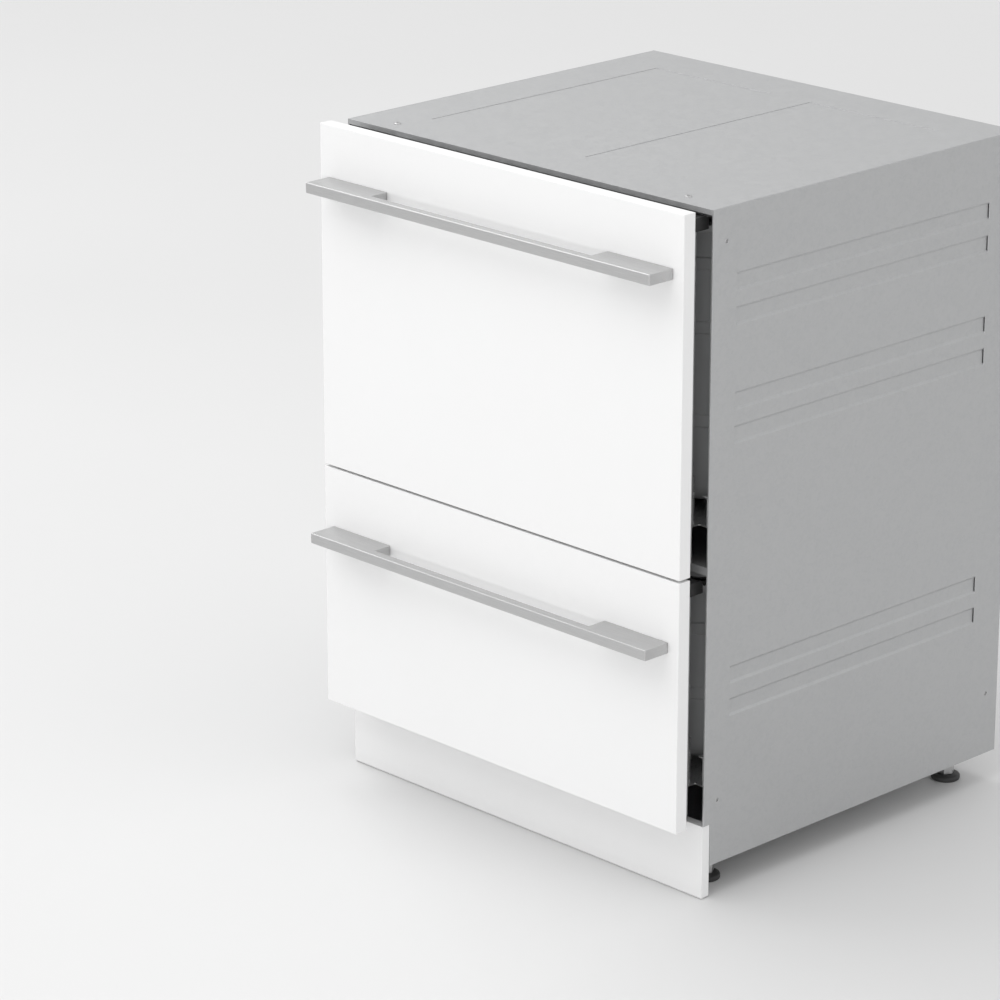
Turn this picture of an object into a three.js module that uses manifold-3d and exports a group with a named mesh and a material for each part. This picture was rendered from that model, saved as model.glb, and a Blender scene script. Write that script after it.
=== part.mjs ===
// A built-in dishwasher with two drawers: a tall one over a shallow one, each behind a flat cabinet panel
// with a bar handle. Each drawer is a moulded tub on a steel cradle that runs out on telescopic runners,
// and holds its own wash motor, spray arm, filters, wire rack and detergent dispenser. A lid inside the
// chassis comes down on each tub when it is shut.
//
// Millimetres, +Z up from the floor, +Y into the cabinet, +X to the right of someone facing the panels.
// Inside this file y = 0 is the front face of the panels. The last lines centre the model on its depth.

import * as THREE from "three";
import { mergeVertices } from "three/addons/utils/BufferGeometryUtils.js";
import Module from "manifold-3d";

const wasm = await Module();
wasm.setup();

// ---------------------------------------------------------------- driving dimensions

const SEAT_GAP = 0.3; // left between two pieces that rest on each other
const OVERCUT = 1; // how far a cutting solid runs past the faces that it cuts

// Front panels
const PANEL_REVEAL = 1; // of the chassis, beside each end of a panel
const PANEL_THICKNESS = 18;
const PANEL_GAP = 3;
const PANELS_BOTTOM = 96;
const LOWER_PANEL_HEIGHT = 306.5;
const UPPER_PANEL_HEIGHT = 426.5;

// Bar handles
const HANDLE_INSET = 15.5; // from the end of a panel
const HANDLE_PROJECTION = 38;
const HANDLE_HEIGHT = 13;
const HANDLE_BAR_DEPTH = 12;
const HANDLE_BLOCK_LENGTH = 102;
const UPPER_HANDLE_DROP = 63.5; // top of the panel to top of the handle
const LOWER_HANDLE_DROP = 74.5;

// Chassis
const CHASSIS_WIDTH = 599;
const CHASSIS_SET_BACK = 46; // behind the front face of the panels
const CHASSIS_DEPTH = 529;
const CHASSIS_BOTTOM = 40;
const PANEL_RISE = 3; // of the upper panel above the chassis
const SHEET = 1.2;
const FLANGE = 14;
const PEG_MARGIN = 1; // between the top sheet's side flanges and the lid pegs
const FRONT_HEM = 1.3; // the front edge of each side is folded back on itself
const FRONT_HEM_WIDTH = 12;
const TOP_LIP = 5;
const BASE_UPSTAND = 26;
const RIB_WIDTH = 16;
const RIB_DEPTH = 2;
const RIB_SLOPE = 3;
const RIB_END_FRONT = 40; // from the chassis front to the ribs
const RIB_END_BACK = 50;
const LOWER_SIDE_RIBS = [87, 127]; // heights of the pressed ribs above the floor of the tub beside them
const UPPER_SIDE_RIBS = [100, 140, 240, 280];
const SCREW_HOLE_RADIUS = 2.5;
const TOP_SCREW = { insetX: 60, insetY: 24 };
const TOP_FIELD = { inner: 30, inset: 70 };
// The two shallow pressed fields on the back stop short of the chassis and of the split by these.
const BACK_FIELD_MARGIN = { bottom: 120, belowSplit: 24, aboveSplit: 26, top: 49 };
const BACK_FIELD_INSET = 60;
const SIDE_SCREW_INSET = 22;
const SIDE_SCREW_RISE = 80; // of the lower screws above the chassis bottom
const SIDE_SCREW_DROP = 39; // of the upper screws below its top

// Toe kick
const TOE_KICK_SET_BACK = 45;
const TOE_KICK_THICKNESS = 12;
const TOE_KICK_GAP = 4; // below the lower panel
const TOE_KICK_FLOOR_GAP = 2;

// Levelling feet
const FOOT_INSET_X = 44;
const FOOT_INSET_Y = 40;
const FOOT_PAD_RADIUS = 18;
const FOOT_PAD_HEIGHT = 8;
const FOOT_HEX_RADIUS = 11;
const FOOT_HEX_HEIGHT = 14;
const STUD_RADIUS = 5;
const STUD_RISE = 60; // of a foot's stud above the chassis bottom
const STUD_CLEARANCE = 0.4;
const WELD_NUT_RADIUS = 10;
const WELD_NUT_HEIGHT = 8;

// Rail across the chassis between the drawers
const CROSS_RAIL_HEIGHT = 10;
const CROSS_RAIL_DEPTH = 30;
const CROSS_RAIL_SET_BACK = 2; // behind the chassis front
const CROSS_RAIL_SHEET = 1.5;

// Telescopic runners: a fixed, a middle and a drawer member, one inside the other
const RUNNER_HEIGHT = 45;
const RUNNER_SHEET = 1.4;
const RUNNER_PLAY = 0.7;
const RUNNER_INSET_FRONT = 14; // from the chassis front
const RUNNER_INSET_BACK = 45;
const RUNNER_LIP = 11.5;
const DRAWER_RAIL_INSET = 4;
const DRAWER_RAIL_LIP = 8.8;

// Cradle that carries a tub
const SHELF_SHEET = 1.5;
const SHELF_MARGIN = 6; // of a shelf inside the tub's rib that stands on it
const CRADLE_BEAM_HEIGHT = 10;
const CRADLE_BEAM_DEPTH = 20;
const CRADLE_TAIL = 32; // of the drawer members behind the rear beam
const CRADLE_FRONT_SHEET = 3;
const CRADLE_FRONT_RISE = 60;

// Inner steel door frame and the control strip on it
const FRAME_INSET_SIDE = 17.5;
const FRAME_DEPTH = 20;
const FRAME_SHEET = 1.2;
const FRAME_INSET_BOTTOM = 8;
const STRIP_DROP = 14; // below the top of the panel
const STRIP_HEIGHT = 16;
const STRIP_GAP = 3.5; // between the strip and the tub's rim
const STRIP_CHAMFER = 4;
const BUTTON_RADIUS = 9;
const BUTTON_INSET = 71; // from the left end of the strip
const BUTTON_HEIGHT = 8;
const BUTTON_PROUD = 1;
const BUTTON_POCKET_PLAY = 0.5;
const BUTTON_TRAVEL = 1.2;

// Tub
const TUB_SIDE_SPACE = 35.5; // from the outside of the chassis to the inside of the tub
const TUB_FRONT_SPACE = 80; // from the front of the panels
const TUB_BACK_SPACE = 83; // from the back of the chassis
const TUB_CORNER = 46; // inside radius of the upright corners
const TUB_WALL = 3;
const RIM_WIDTH = 18; // from the inside of the wall to the outer edge of the rim
const RIM_THICKNESS = 3;
const RIM_LIP = 9; // the rim's outer edge turns down this far
const RIM_CHAMFER = 1.5;
const FLOOR_RISE = 8; // from the sump to the edge of the floor
const FLOOR_FILLET = 22;
const SUMP_RADIUS = 66;
const SUMP_TAPER = 2;
const SUMP_DEPTH = 24;
const SUMP_ROUNDNESS = 0.97; // just short of 1, so that no two points of the sump's outline meet
const POST_RADIUS = 4;
const POST_INSET = 11; // of the filter posts from the edge of the plate
const POST_ANGLES = [Math.PI / 2, Math.PI, (3 * Math.PI) / 2];
const RUNNER_RIB_INSET = 42; // of the ribs under the tub that stand on the cradle's shelves
const RUNNER_RIB_WIDTH = 10;
const RUNNER_RIB_SHORTFALL = 36; // of those ribs at each end of the tub
const RUNNER_RIB_DROP = 2;
const RACK_BOSS_RADIUS = 9;
const RACK_BOSS_TOP = 10.5;
const SPIGOT_INSET = 74; // from the side of the tub
const SPIGOT_Z = 42;
const SPIGOT_RADIUS = 7.2;
const SPIGOT_LENGTH = 17;

// Wash motor, spray arm and filters
const MOTOR_RADIUS = 54;
const MOTOR_HEIGHT = 19.7;
const MOTOR_BOX = { width: 34, depth: 46, height: 15, lift: 1 };
const SHAFT_RADIUS = 7;
const SHAFT_TOP = 20;
const SHAFT_PLAY = 0.4;
const ARM_TIP_GAP = 20; // between the arm's tip and the nearest wall
const ARM_BOTTOM = 15;
const ARM_THICKNESS = 9;
const ARM_ROOT_WIDTH = 40;
const ARM_TIP_WIDTH = 24;
const ARM_SWEEP = 20; // how far each blade curves to one side
const HUB_RADIUS = 24;
const HUB_BOTTOM = 12;
const HUB_TOP = 31;
const PLATE_INSET = 5; // from the edge of the sump
const PLATE_THICKNESS = 2.5;
const PLATE_TOP = -1.5;
const PLATE_SLOTS = { x0: -42, x1: -16, width: 3, offsets: [-30, -20, -10, 0, 10, 20, 30] };
const FILTER_INSET = 2; // of the drain filter's flange from the edge of the plate
const FILTER_RADIUS = 19;
const FILTER_PLAY = 0.8;
const FILTER_BOTTOM = -21;
const FILTER_FLANGE_RADIUS = 22;
const FILTER_FLANGE = 2.5;
const FILTER_WALL = 2;
const FILTER_GRIP = { length: 34, width: 5, height: 7 };

// Lids and what moves them
const LID_HEADROOM = 3; // between the upper lid and the top sheet
const LID_RAIL_GAP = 1; // between the lower lid and the cross rail
const LID_HEIGHT = 16;
const LID_SKIN = 3;
const LID_RIB = 3;
const LID_POCKETS = { columns: 3, rows: 2, margin: 24 };
const LID_OVERHANG = 2; // past the tub's rim at the sides
const LID_SHORTFALL = 1; // short of the rim in front and behind
const LID_TRAVEL = 5.5;
const SEAL_WIDTH = 8;
const SEAL_PROUD = 4;
const SEAL_GROOVE = 4;
const LUG_WIDTH = 26;
const LUG_THICKNESS = 5;
const LUG_ROOT = 4; // how far a lug reaches into the lid
const PEG_RADIUS = 2.5;
const PEG_REACH = 2.4; // into a lug
const PEG_CLEAR = 0.6; // between the end of a peg and the bottom of its slot
const PEG_PLAY = 0.3;
const PEG_INSET = 41; // from the front or back wall of the tub
const ACTUATOR = { width: 90, drop: 24, rise: 3, gap: 7 }; // gap: behind the tub's rim
const ACTUATOR_LUG = { width: 24, length: 16, bottom: 5, height: 6 };

// Wire rack
const WIRE = 3.2;
const RACK_GAP = 18; // between the rack and the tub's walls
const UPPER_RACK_DROP = 169.8; // from the tub's rim to the rack's top ring
const LOWER_RACK_DROP = 102;
const UPPER_RACK_RING = 60; // height of the ring halfway up
const RACK_COLUMNS = 9; // wires that run front to back
const RACK_ROWS = 7; // wires that run side to side
const RACK_BASE = 46; // underside of the rack's floor above the sump's edge
const RACK_FOOT_INSET = { x: 31, y: 28 };
const TINE_COUNT = 9;
const TINE_PITCH = 36;
const TINE_HEIGHT = 64;
const FIXED_TINE_COLUMNS = [4, 5]; // column numbers, from the left
const FOLD_TINE_COLUMN = 3;
const PIVOT_RADIUS = 2; // round ends of the folding row and of the cup rack
const PIVOT_LIFT = 0.5;
const PIN_INSET = 5; // from a clip to the nearest wire of the folding piece
const CLIP = { width: 9, length: 7, play: 0.4, wall: 2, ear: 2 };

// Cup rack, cutlery basket
const CUP_RACK = { length: 270, reach: 88, bars: 6 };
const CUP_PIVOT_INSET = 7; // from the rack's side wire
const BASKET = {
  inset: 12, // from the side of the rack
  width: 84,
  halfLength: 100,
  height: 116,
  wall: 2.2,
  sill: 14, // below the side slots, and beside the floor slots
  band: 16, // above the side slots
  slots: 7,
  slotWidth: 9,
};

// Detergent dispenser
const DISPENSER = { x0: -160, x1: 0, depth: 22, height: 70, topBelowRim: 22 };
const CUP = { x: -108, width: 64, height: 40, depth: 14 };
const CUP_DOOR = { thickness: 2.3, overlap: 3, play: 0.6 };
const DOOR_SWING_CLEARANCE = 1.9; // kept free round the hinge line
const RINSE_CAP_X = -36;
const RINSE_CAP_RADIUS = 15;
const RINSE_CAP_PROUD = 3;

// Hoses and the duct that takes them down the back
const HOSE_RADIUS = 8;
const HOSE_STEPS = 26;
const HOSE_RUN_GAP = 11.5; // between the hose's long run and the front of the duct
const DUCT_INSET = 109.5; // of the duct's middle from the side of the chassis
const DUCT = { halfWidth: 30, depth: 17, bottom: 56, aboveUpperHose: 25 };
const OUTLET = { halfWidth: 48, depth: 34, bottom: 50, height: 62 };
const OUTLET_HOLES = [
  { dx: -28, radius: 8 },
  { dx: 0, radius: 10 },
  { dx: 28, radius: 11 },
];
const OUTLET_HOLE_DEPTH = 14;

const BAY_CLEARANCE = 4; // under each drawer

// ---------------------------------------------------------------- derived places

const PANEL_WIDTH = CHASSIS_WIDTH - 2 * PANEL_REVEAL;
const HANDLE_LENGTH = PANEL_WIDTH - 2 * HANDLE_INSET;
const CHASSIS_BACK = CHASSIS_SET_BACK + CHASSIS_DEPTH;
const CHASSIS_INSIDE = CHASSIS_WIDTH / 2 - SHEET; // half width
const BACK_INSIDE = CHASSIS_BACK - SHEET;
const TOE_KICK_BACK = TOE_KICK_SET_BACK + TOE_KICK_THICKNESS;
const LOWER_PANEL_TOP = PANELS_BOTTOM + LOWER_PANEL_HEIGHT;
const UPPER_PANEL_BOTTOM = LOWER_PANEL_TOP + PANEL_GAP;
const CHASSIS_TOP = UPPER_PANEL_BOTTOM + UPPER_PANEL_HEIGHT - PANEL_RISE;
const TOE_KICK_TOP = PANELS_BOTTOM - TOE_KICK_GAP;
const STUD_TOP = CHASSIS_BOTTOM + STUD_RISE;
const SPLIT = LOWER_PANEL_TOP + PANEL_GAP / 2;
const CROSS_RAIL_BOTTOM = SPLIT - CROSS_RAIL_HEIGHT / 2;
const CROSS_RAIL_TOP = SPLIT + CROSS_RAIL_HEIGHT / 2;
const BACK_FIELDS = [
  [CHASSIS_BOTTOM + BACK_FIELD_MARGIN.bottom, SPLIT - BACK_FIELD_MARGIN.belowSplit],
  [SPLIT + BACK_FIELD_MARGIN.aboveSplit, CHASSIS_TOP - BACK_FIELD_MARGIN.top],
];
const SIDE_SCREW_HEIGHTS = [CHASSIS_BOTTOM + SIDE_SCREW_RISE, CHASSIS_TOP - SIDE_SCREW_DROP];
const TUB_HALF_WIDTH = CHASSIS_WIDTH / 2 - TUB_SIDE_SPACE; // inside
const TUB_HALF_DEPTH = (CHASSIS_BACK - TUB_FRONT_SPACE - TUB_BACK_SPACE) / 2; // inside
const TUB_CENTRE_Y = TUB_FRONT_SPACE + TUB_HALF_DEPTH;
const PLATE_RADIUS = SUMP_RADIUS - PLATE_INSET;
const POST_CIRCLE = PLATE_RADIUS - POST_INSET;
const FILTER_OFFSET = PLATE_RADIUS - FILTER_FLANGE_RADIUS - FILTER_INSET; // from the shaft
// From the floor of a tub to the underside of its motor
const UNDER_FLOOR = SUMP_DEPTH + TUB_WALL + SEAT_GAP + MOTOR_HEIGHT;
const RIM_HALF_WIDTH = TUB_HALF_WIDTH + RIM_WIDTH;
const RIM_HALF_DEPTH = TUB_HALF_DEPTH + RIM_WIDTH;
const RIM_MIDDLE = (TUB_WALL + RIM_WIDTH) / 2; // where the seal meets the rim, from the inside of the wall
const LID_STACK = LID_HEIGHT + SEAL_PROUD + LID_TRAVEL + SEAT_GAP;
const STRIP_BACK = TUB_CENTRE_Y - RIM_HALF_DEPTH - STRIP_GAP;
const FRAME_HALF_WIDTH = PANEL_WIDTH / 2 - FRAME_INSET_SIDE;
const BUTTON_X = BUTTON_INSET - FRAME_HALF_WIDTH;
const RUNNER_RIB_X = TUB_HALF_WIDTH - RUNNER_RIB_INSET;
const RUNNER_RIB_HALF_LENGTH = TUB_HALF_DEPTH - RUNNER_RIB_SHORTFALL;
const SPIGOT_X = SPIGOT_INSET - TUB_HALF_WIDTH;
const ARM_RADIUS = TUB_HALF_DEPTH - ARM_TIP_GAP;
const PEG_OFFSETS = [PEG_INSET - TUB_HALF_DEPTH, TUB_HALF_DEPTH - PEG_INSET]; // from the tub's centre
const ACTUATOR_FRONT = TUB_CENTRE_Y + RIM_HALF_DEPTH + ACTUATOR.gap;
const RACK_HALF_WIDTH = TUB_HALF_WIDTH - RACK_GAP;
const RACK_HALF_DEPTH = TUB_HALF_DEPTH - RACK_GAP;
const RACK_FOOT_X = RACK_HALF_WIDTH - RACK_FOOT_INSET.x;
const RACK_FOOT_Y = RACK_HALF_DEPTH - RACK_FOOT_INSET.y;
const RACK_FLOOR_TOP = RACK_BASE + WIRE;
const HOSE_END_X = CHASSIS_WIDTH / 2 - DUCT_INSET;
const FRAME_BACK = PANEL_THICKNESS + SEAT_GAP + FRAME_DEPTH;

// Each runner member's web stands inside the one before it.
const FIXED_WEB = CHASSIS_INSIDE - SEAT_GAP;
const MIDDLE_WEB = FIXED_WEB - RUNNER_SHEET - RUNNER_PLAY;
const RAIL_WEB = MIDDLE_WEB - RUNNER_SHEET - RUNNER_PLAY;
const RUNNER_START = CHASSIS_SET_BACK + RUNNER_INSET_FRONT;
const RUNNER_END = CHASSIS_BACK - RUNNER_INSET_BACK;
const RUNNER_LENGTH = RUNNER_END - RUNNER_START;
const DRAWER_RAIL_START = CHASSIS_SET_BACK + DRAWER_RAIL_INSET;
const DRAWER_RAIL_END = DRAWER_RAIL_START + RUNNER_LENGTH;
const CRADLE_REAR_BEAM = DRAWER_RAIL_END - CRADLE_TAIL - CRADLE_BEAM_DEPTH; // its front edge
const SHELF_INNER = RUNNER_RIB_X - SHELF_MARGIN;
const MIDDLE_HEIGHT = RUNNER_HEIGHT - 2 * (RUNNER_SHEET + RUNNER_PLAY);
const RAIL_HEIGHT = MIDDLE_HEIGHT - 2 * (RUNNER_SHEET + RUNNER_PLAY);
const SHELF_TOP = -RUNNER_RIB_DROP - SEAT_GAP; // in a drawer's frame, as the next line is
const RUNNER_Z = SHELF_TOP - SHELF_SHEET + RAIL_HEIGHT / 2;

// A drawer's frame has z = 0 where the floor of its tub meets the sump.
const DRAWERS = [
  {
    name: "upper",
    floor: CROSS_RAIL_TOP + BAY_CLEARANCE + UNDER_FLOOR,
    panelBottom: UPPER_PANEL_BOTTOM,
    panelHeight: UPPER_PANEL_HEIGHT,
    handleDrop: UPPER_HANDLE_DROP,
    lidTop: CHASSIS_TOP - SHEET - LID_HEADROOM,
    sideRibs: UPPER_SIDE_RIBS,
    rackDrop: UPPER_RACK_DROP,
    rackRings: [UPPER_RACK_RING],
    cupRack: true,
    cutlery: true,
  },
  {
    name: "lower",
    floor: TOE_KICK_TOP + BAY_CLEARANCE + UNDER_FLOOR,
    panelBottom: PANELS_BOTTOM,
    panelHeight: LOWER_PANEL_HEIGHT,
    handleDrop: LOWER_HANDLE_DROP,
    lidTop: CROSS_RAIL_BOTTOM - LID_RAIL_GAP,
    sideRibs: LOWER_SIDE_RIBS,
    rackDrop: LOWER_RACK_DROP,
    rackRings: [],
    cupRack: false,
    cutlery: false,
  },
];
for (const drawer of DRAWERS) {
  drawer.lidBottom = drawer.lidTop - LID_HEIGHT;
  drawer.rim = drawer.lidTop - LID_STACK - drawer.floor;
  drawer.rackWall = drawer.rim - drawer.rackDrop - RACK_FLOOR_TOP;
  drawer.rackRings.push(drawer.rackWall);
}

// ---------------------------------------------------------------- materials

function material(color, roughness, metalness) {
  return new THREE.MeshStandardMaterial({ color, roughness, metalness });
}

const LACQUER = material(0xf2f2f1, 0.45, 0);
const BRUSHED = material(0xb9babb, 0.34, 0.9);
const STEEL = material(0xa9acae, 0.42, 0.85);
const RUNNER_STEEL = material(0xc4c6c7, 0.3, 0.9);
const TUB_PLASTIC = material(0xcfd1d2, 0.35, 0);
const DARK_PLASTIC = material(0x3a3c3e, 0.5, 0);
const GREY_PLASTIC = material(0x8d9194, 0.45, 0);
const WIRE_COATING = material(0xa3a7aa, 0.5, 0);
const RUBBER = material(0x55585a, 0.8, 0);
const HOSE_PLASTIC = material(0x77797b, 0.6, 0);

// ---------------------------------------------------------------- solid modelling helpers

// A closed three.js geometry as a solid that can be joined and cut.
function solid(geometry) {
  const bare = geometry.index ? geometry.toNonIndexed() : geometry.clone();
  bare.deleteAttribute("normal");
  bare.deleteAttribute("uv");
  const merged = mergeVertices(bare, 1e-4);
  return new wasm.Manifold(
    new wasm.Mesh({
      numProp: 3,
      vertProperties: merged.attributes.position.array,
      triVerts: new Uint32Array(merged.index.array),
    }),
  );
}

function box(x0, x1, y0, y1, z0, z1) {
  const geometry = new THREE.BoxGeometry(x1 - x0, y1 - y0, z1 - z0);
  return solid(geometry.translate((x0 + x1) / 2, (y0 + y1) / 2, (z0 + z1) / 2));
}

// A straight round bar from one point to another.
function bar(from, to, radius, sides = 12) {
  const start = new THREE.Vector3(...from);
  const along = new THREE.Vector3(...to).sub(start);
  const geometry = new THREE.CylinderGeometry(radius, radius, along.length(), sides);
  const turn = new THREE.Quaternion().setFromUnitVectors(
    new THREE.Vector3(0, 1, 0),
    along.clone().normalize(),
  );
  const middle = start.addScaledVector(along, 0.5);
  return solid(geometry.applyQuaternion(turn).translate(middle.x, middle.y, middle.z));
}

function upright(x, y, z0, z1, radius, sides = 16) {
  return bar([x, y, z0], [x, y, z1], radius, sides);
}

function join(...pieces) {
  return pieces.reduce((whole, piece) => whole.add(piece));
}

function cut(whole, ...tools) {
  return tools.reduce((left, tool) => left.subtract(tool), whole);
}

// A box on the right (side 1) or its mirror image on the left (side -1), given by distances from the middle.
function sideBox(side, inner, outer, y0, y1, z0, z1) {
  return side > 0 ? box(inner, outer, y0, y1, z0, z1) : box(-outer, -inner, y0, y1, z0, z1);
}

// A flat outline in X and Y, raised from z0 to z1. Each hole is an outline of its own.
function raised(points, z0, z1, holes = []) {
  const shape = new THREE.Shape(points);
  shape.holes = holes.map((hole) => new THREE.Path(hole));
  const geometry = new THREE.ExtrudeGeometry(shape, { depth: z1 - z0, bevelEnabled: false });
  return solid(geometry.translate(0, 0, z0));
}

// A flat outline in X and Z, drawn out from y0 to y1.
function alongY(points, y0, y1) {
  const shape = new THREE.Shape(points.map(([x, z]) => new THREE.Vector2(x, z)));
  const geometry = new THREE.ExtrudeGeometry(shape, { depth: y1 - y0, bevelEnabled: false });
  return solid(geometry.rotateX(Math.PI / 2).translate(0, y1, 0));
}

// A flat outline in Y and Z, drawn out from x0 to x1.
function alongX(points, x0, x1) {
  const shape = new THREE.Shape(points.map(([y, z]) => new THREE.Vector2(y, z)));
  const geometry = new THREE.ExtrudeGeometry(shape, { depth: x1 - x0, bevelEnabled: false });
  return solid(geometry.rotateX(Math.PI / 2).rotateZ(Math.PI / 2).translate(x0, 0, 0));
}

// A rounded rectangle about the tub's centre, with the same number of points whatever its size.
const CORNER_STEPS = 5;
function roundedOutline(halfWidth, halfDepth, radius, steps = CORNER_STEPS) {
  const points = [];
  for (let corner = 0; corner < 4; corner++) {
    const sideX = corner === 0 || corner === 3 ? 1 : -1;
    const sideY = corner < 2 ? 1 : -1;
    for (let step = 0; step <= steps; step++) {
      const angle = (corner + step / steps) * (Math.PI / 2);
      points.push(
        new THREE.Vector2(
          sideX * (halfWidth - radius) + radius * Math.cos(angle),
          TUB_CENTRE_Y + sideY * (halfDepth - radius) + radius * Math.sin(angle),
        ),
      );
    }
  }
  return points;
}

// A solid skinned over a stack of outlines, from the lowest middle round to the last.
function skinned(rings) {
  const positions = [];
  const quads = [];
  const count = rings[0].outline.length;
  for (const { outline, z } of rings) {
    for (const point of outline) positions.push(point.x, point.y, z);
  }
  for (let ring = 0; ring + 1 < rings.length; ring++) {
    for (let i = 0; i < count; i++) {
      const a = ring * count + i;
      const b = ring * count + ((i + 1) % count);
      quads.push(a, b, b + count, a, b + count, a + count);
    }
  }
  const last = (rings.length - 1) * count;
  const firstMiddle = positions.length / 3;
  positions.push(0, TUB_CENTRE_Y, rings[0].z);
  positions.push(0, TUB_CENTRE_Y, rings[rings.length - 1].z);
  for (let i = 0; i < count; i++) {
    const next = (i + 1) % count;
    quads.push(firstMiddle, next, i);
    quads.push(firstMiddle + 1, last + i, last + next);
  }
  const geometry = new THREE.BufferGeometry();
  geometry.setAttribute("position", new THREE.Float32BufferAttribute(positions, 3));
  geometry.setIndex(quads);
  return solid(geometry);
}

// A named mesh for the scene, from a solid.
function piece(name, made, finish) {
  const mesh = made.getMesh();
  const positions = new Float32Array(mesh.numVert * 3);
  for (let i = 0; i < mesh.numVert; i++) {
    const start = i * mesh.numProp;
    positions.set(mesh.vertProperties.subarray(start, start + 3), i * 3);
  }
  const geometry = new THREE.BufferGeometry();
  geometry.setAttribute("position", new THREE.BufferAttribute(positions, 3));
  geometry.setIndex(new THREE.BufferAttribute(mesh.triVerts, 1));
  geometry.computeVertexNormals();
  const object = new THREE.Mesh(geometry, finish);
  object.name = name;
  return object;
}

// Left and right copies of one piece, modelled on the right-hand side.
function pair(prefix, right, finish) {
  const copies = [piece(`${prefix}_right`, right, finish), piece(`${prefix}_left`, right, finish)];
  copies[1].scale.x = -1;
  return copies;
}

// ---------------------------------------------------------------- chassis

// A pressed rib along Y: hollow on one face of the side sheet, proud on the other. It starts inside the
// sheet, or outside it, so that it joins or cuts cleanly.
function ribSection(face, z, y0, y1) {
  const half = RIB_WIDTH / 2;
  const start = face + SHEET / 2;
  return alongY(
    [
      [start, z - half - RIB_SLOPE],
      [face, z - half - RIB_SLOPE],
      [face - RIB_DEPTH, z - half],
      [face - RIB_DEPTH, z + half],
      [face, z + half + RIB_SLOPE],
      [start, z + half + RIB_SLOPE],
    ],
    y0,
    y1,
  );
}

function chassisSide() {
  const outside = CHASSIS_WIDTH / 2;
  const front = CHASSIS_SET_BACK;
  const kickSeat = TOE_KICK_BACK + SEAT_GAP;
  const kickTop = TOE_KICK_TOP + SEAT_GAP;
  let side = join(
    box(CHASSIS_INSIDE, outside, kickSeat, CHASSIS_BACK, CHASSIS_BOTTOM, CHASSIS_TOP),
    // The front stands out over the toe kick, with its edge folded back on itself.
    box(CHASSIS_INSIDE, outside, front, kickSeat + SHEET, kickTop, CHASSIS_TOP),
    box(
      CHASSIS_INSIDE - FRONT_HEM,
      outside - SHEET / 2,
      front,
      front + FRONT_HEM_WIDTH,
      kickTop,
      CHASSIS_TOP - SHEET - TOP_LIP,
    ),
    // A flange behind the end of the toe kick
    box(
      CHASSIS_INSIDE - FLANGE,
      outside - SHEET / 2,
      kickSeat,
      kickSeat + SHEET,
      CHASSIS_BOTTOM + BASE_UPSTAND + SEAT_GAP,
      kickTop,
    ),
  );
  for (const drawer of DRAWERS) {
    for (const offset of PEG_OFFSETS) {
      const y = TUB_CENTRE_Y + offset;
      const z = pegHeight(drawer);
      side = side.add(bar([outside - SHEET / 2, y, z], [pegTip(), y, z], PEG_RADIUS, 10));
    }
  }
  for (const z of DRAWERS.flatMap((drawer) => drawer.sideRibs.map((rib) => drawer.floor + rib))) {
    const ribFront = front + RIB_END_FRONT;
    const ribBack = CHASSIS_BACK - RIB_END_BACK;
    side = side.add(ribSection(CHASSIS_INSIDE, z, ribFront, ribBack));
    side = side.subtract(ribSection(outside, z, ribFront, ribBack));
  }
  for (const z of SIDE_SCREW_HEIGHTS) {
    for (const y of [front + SIDE_SCREW_INSET, CHASSIS_BACK - SIDE_SCREW_INSET]) {
      const hole = bar(
        [CHASSIS_INSIDE - FRONT_HEM - OVERCUT, y, z],
        [outside + OVERCUT, y, z],
        SCREW_HOLE_RADIUS,
        10,
      );
      side = side.subtract(hole);
    }
  }
  return side;
}

function chassisTop() {
  const half = CHASSIS_INSIDE - SEAT_GAP;
  const front = CHASSIS_SET_BACK;
  const sheetBottom = CHASSIS_TOP - SHEET;
  let top = join(
    box(-half, half, front, CHASSIS_BACK, sheetBottom, CHASSIS_TOP),
    box(-half, half, front, front + SHEET, sheetBottom - TOP_LIP, CHASSIS_TOP - SHEET / 2),
  );
  for (const side of [-1, 1]) {
    const flange = sideBox(
      side,
      half - SHEET,
      half,
      front + FRONT_HEM_WIDTH + SEAT_GAP,
      BACK_INSIDE - FLANGE - SEAT_GAP,
      pegHeight(DRAWERS[0]) + PEG_RADIUS + PEG_MARGIN,
      CHASSIS_TOP - SHEET / 2,
    );
    // A shallow pressed field stiffens each half of the sheet.
    const field = sideBox(
      side,
      TOP_FIELD.inner,
      half - TOP_FIELD.inset,
      front + TOP_FIELD.inset,
      CHASSIS_BACK - TOP_FIELD.inset,
      CHASSIS_TOP - SHEET / 2,
      CHASSIS_TOP + OVERCUT,
    );
    const hole = upright(
      side * (half - TOP_SCREW.insetX),
      front + TOP_SCREW.insetY,
      sheetBottom - OVERCUT,
      CHASSIS_TOP + OVERCUT,
      SCREW_HOLE_RADIUS,
      10,
    );
    top = top.add(flange).subtract(field).subtract(hole);
  }
  return top;
}

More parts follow.
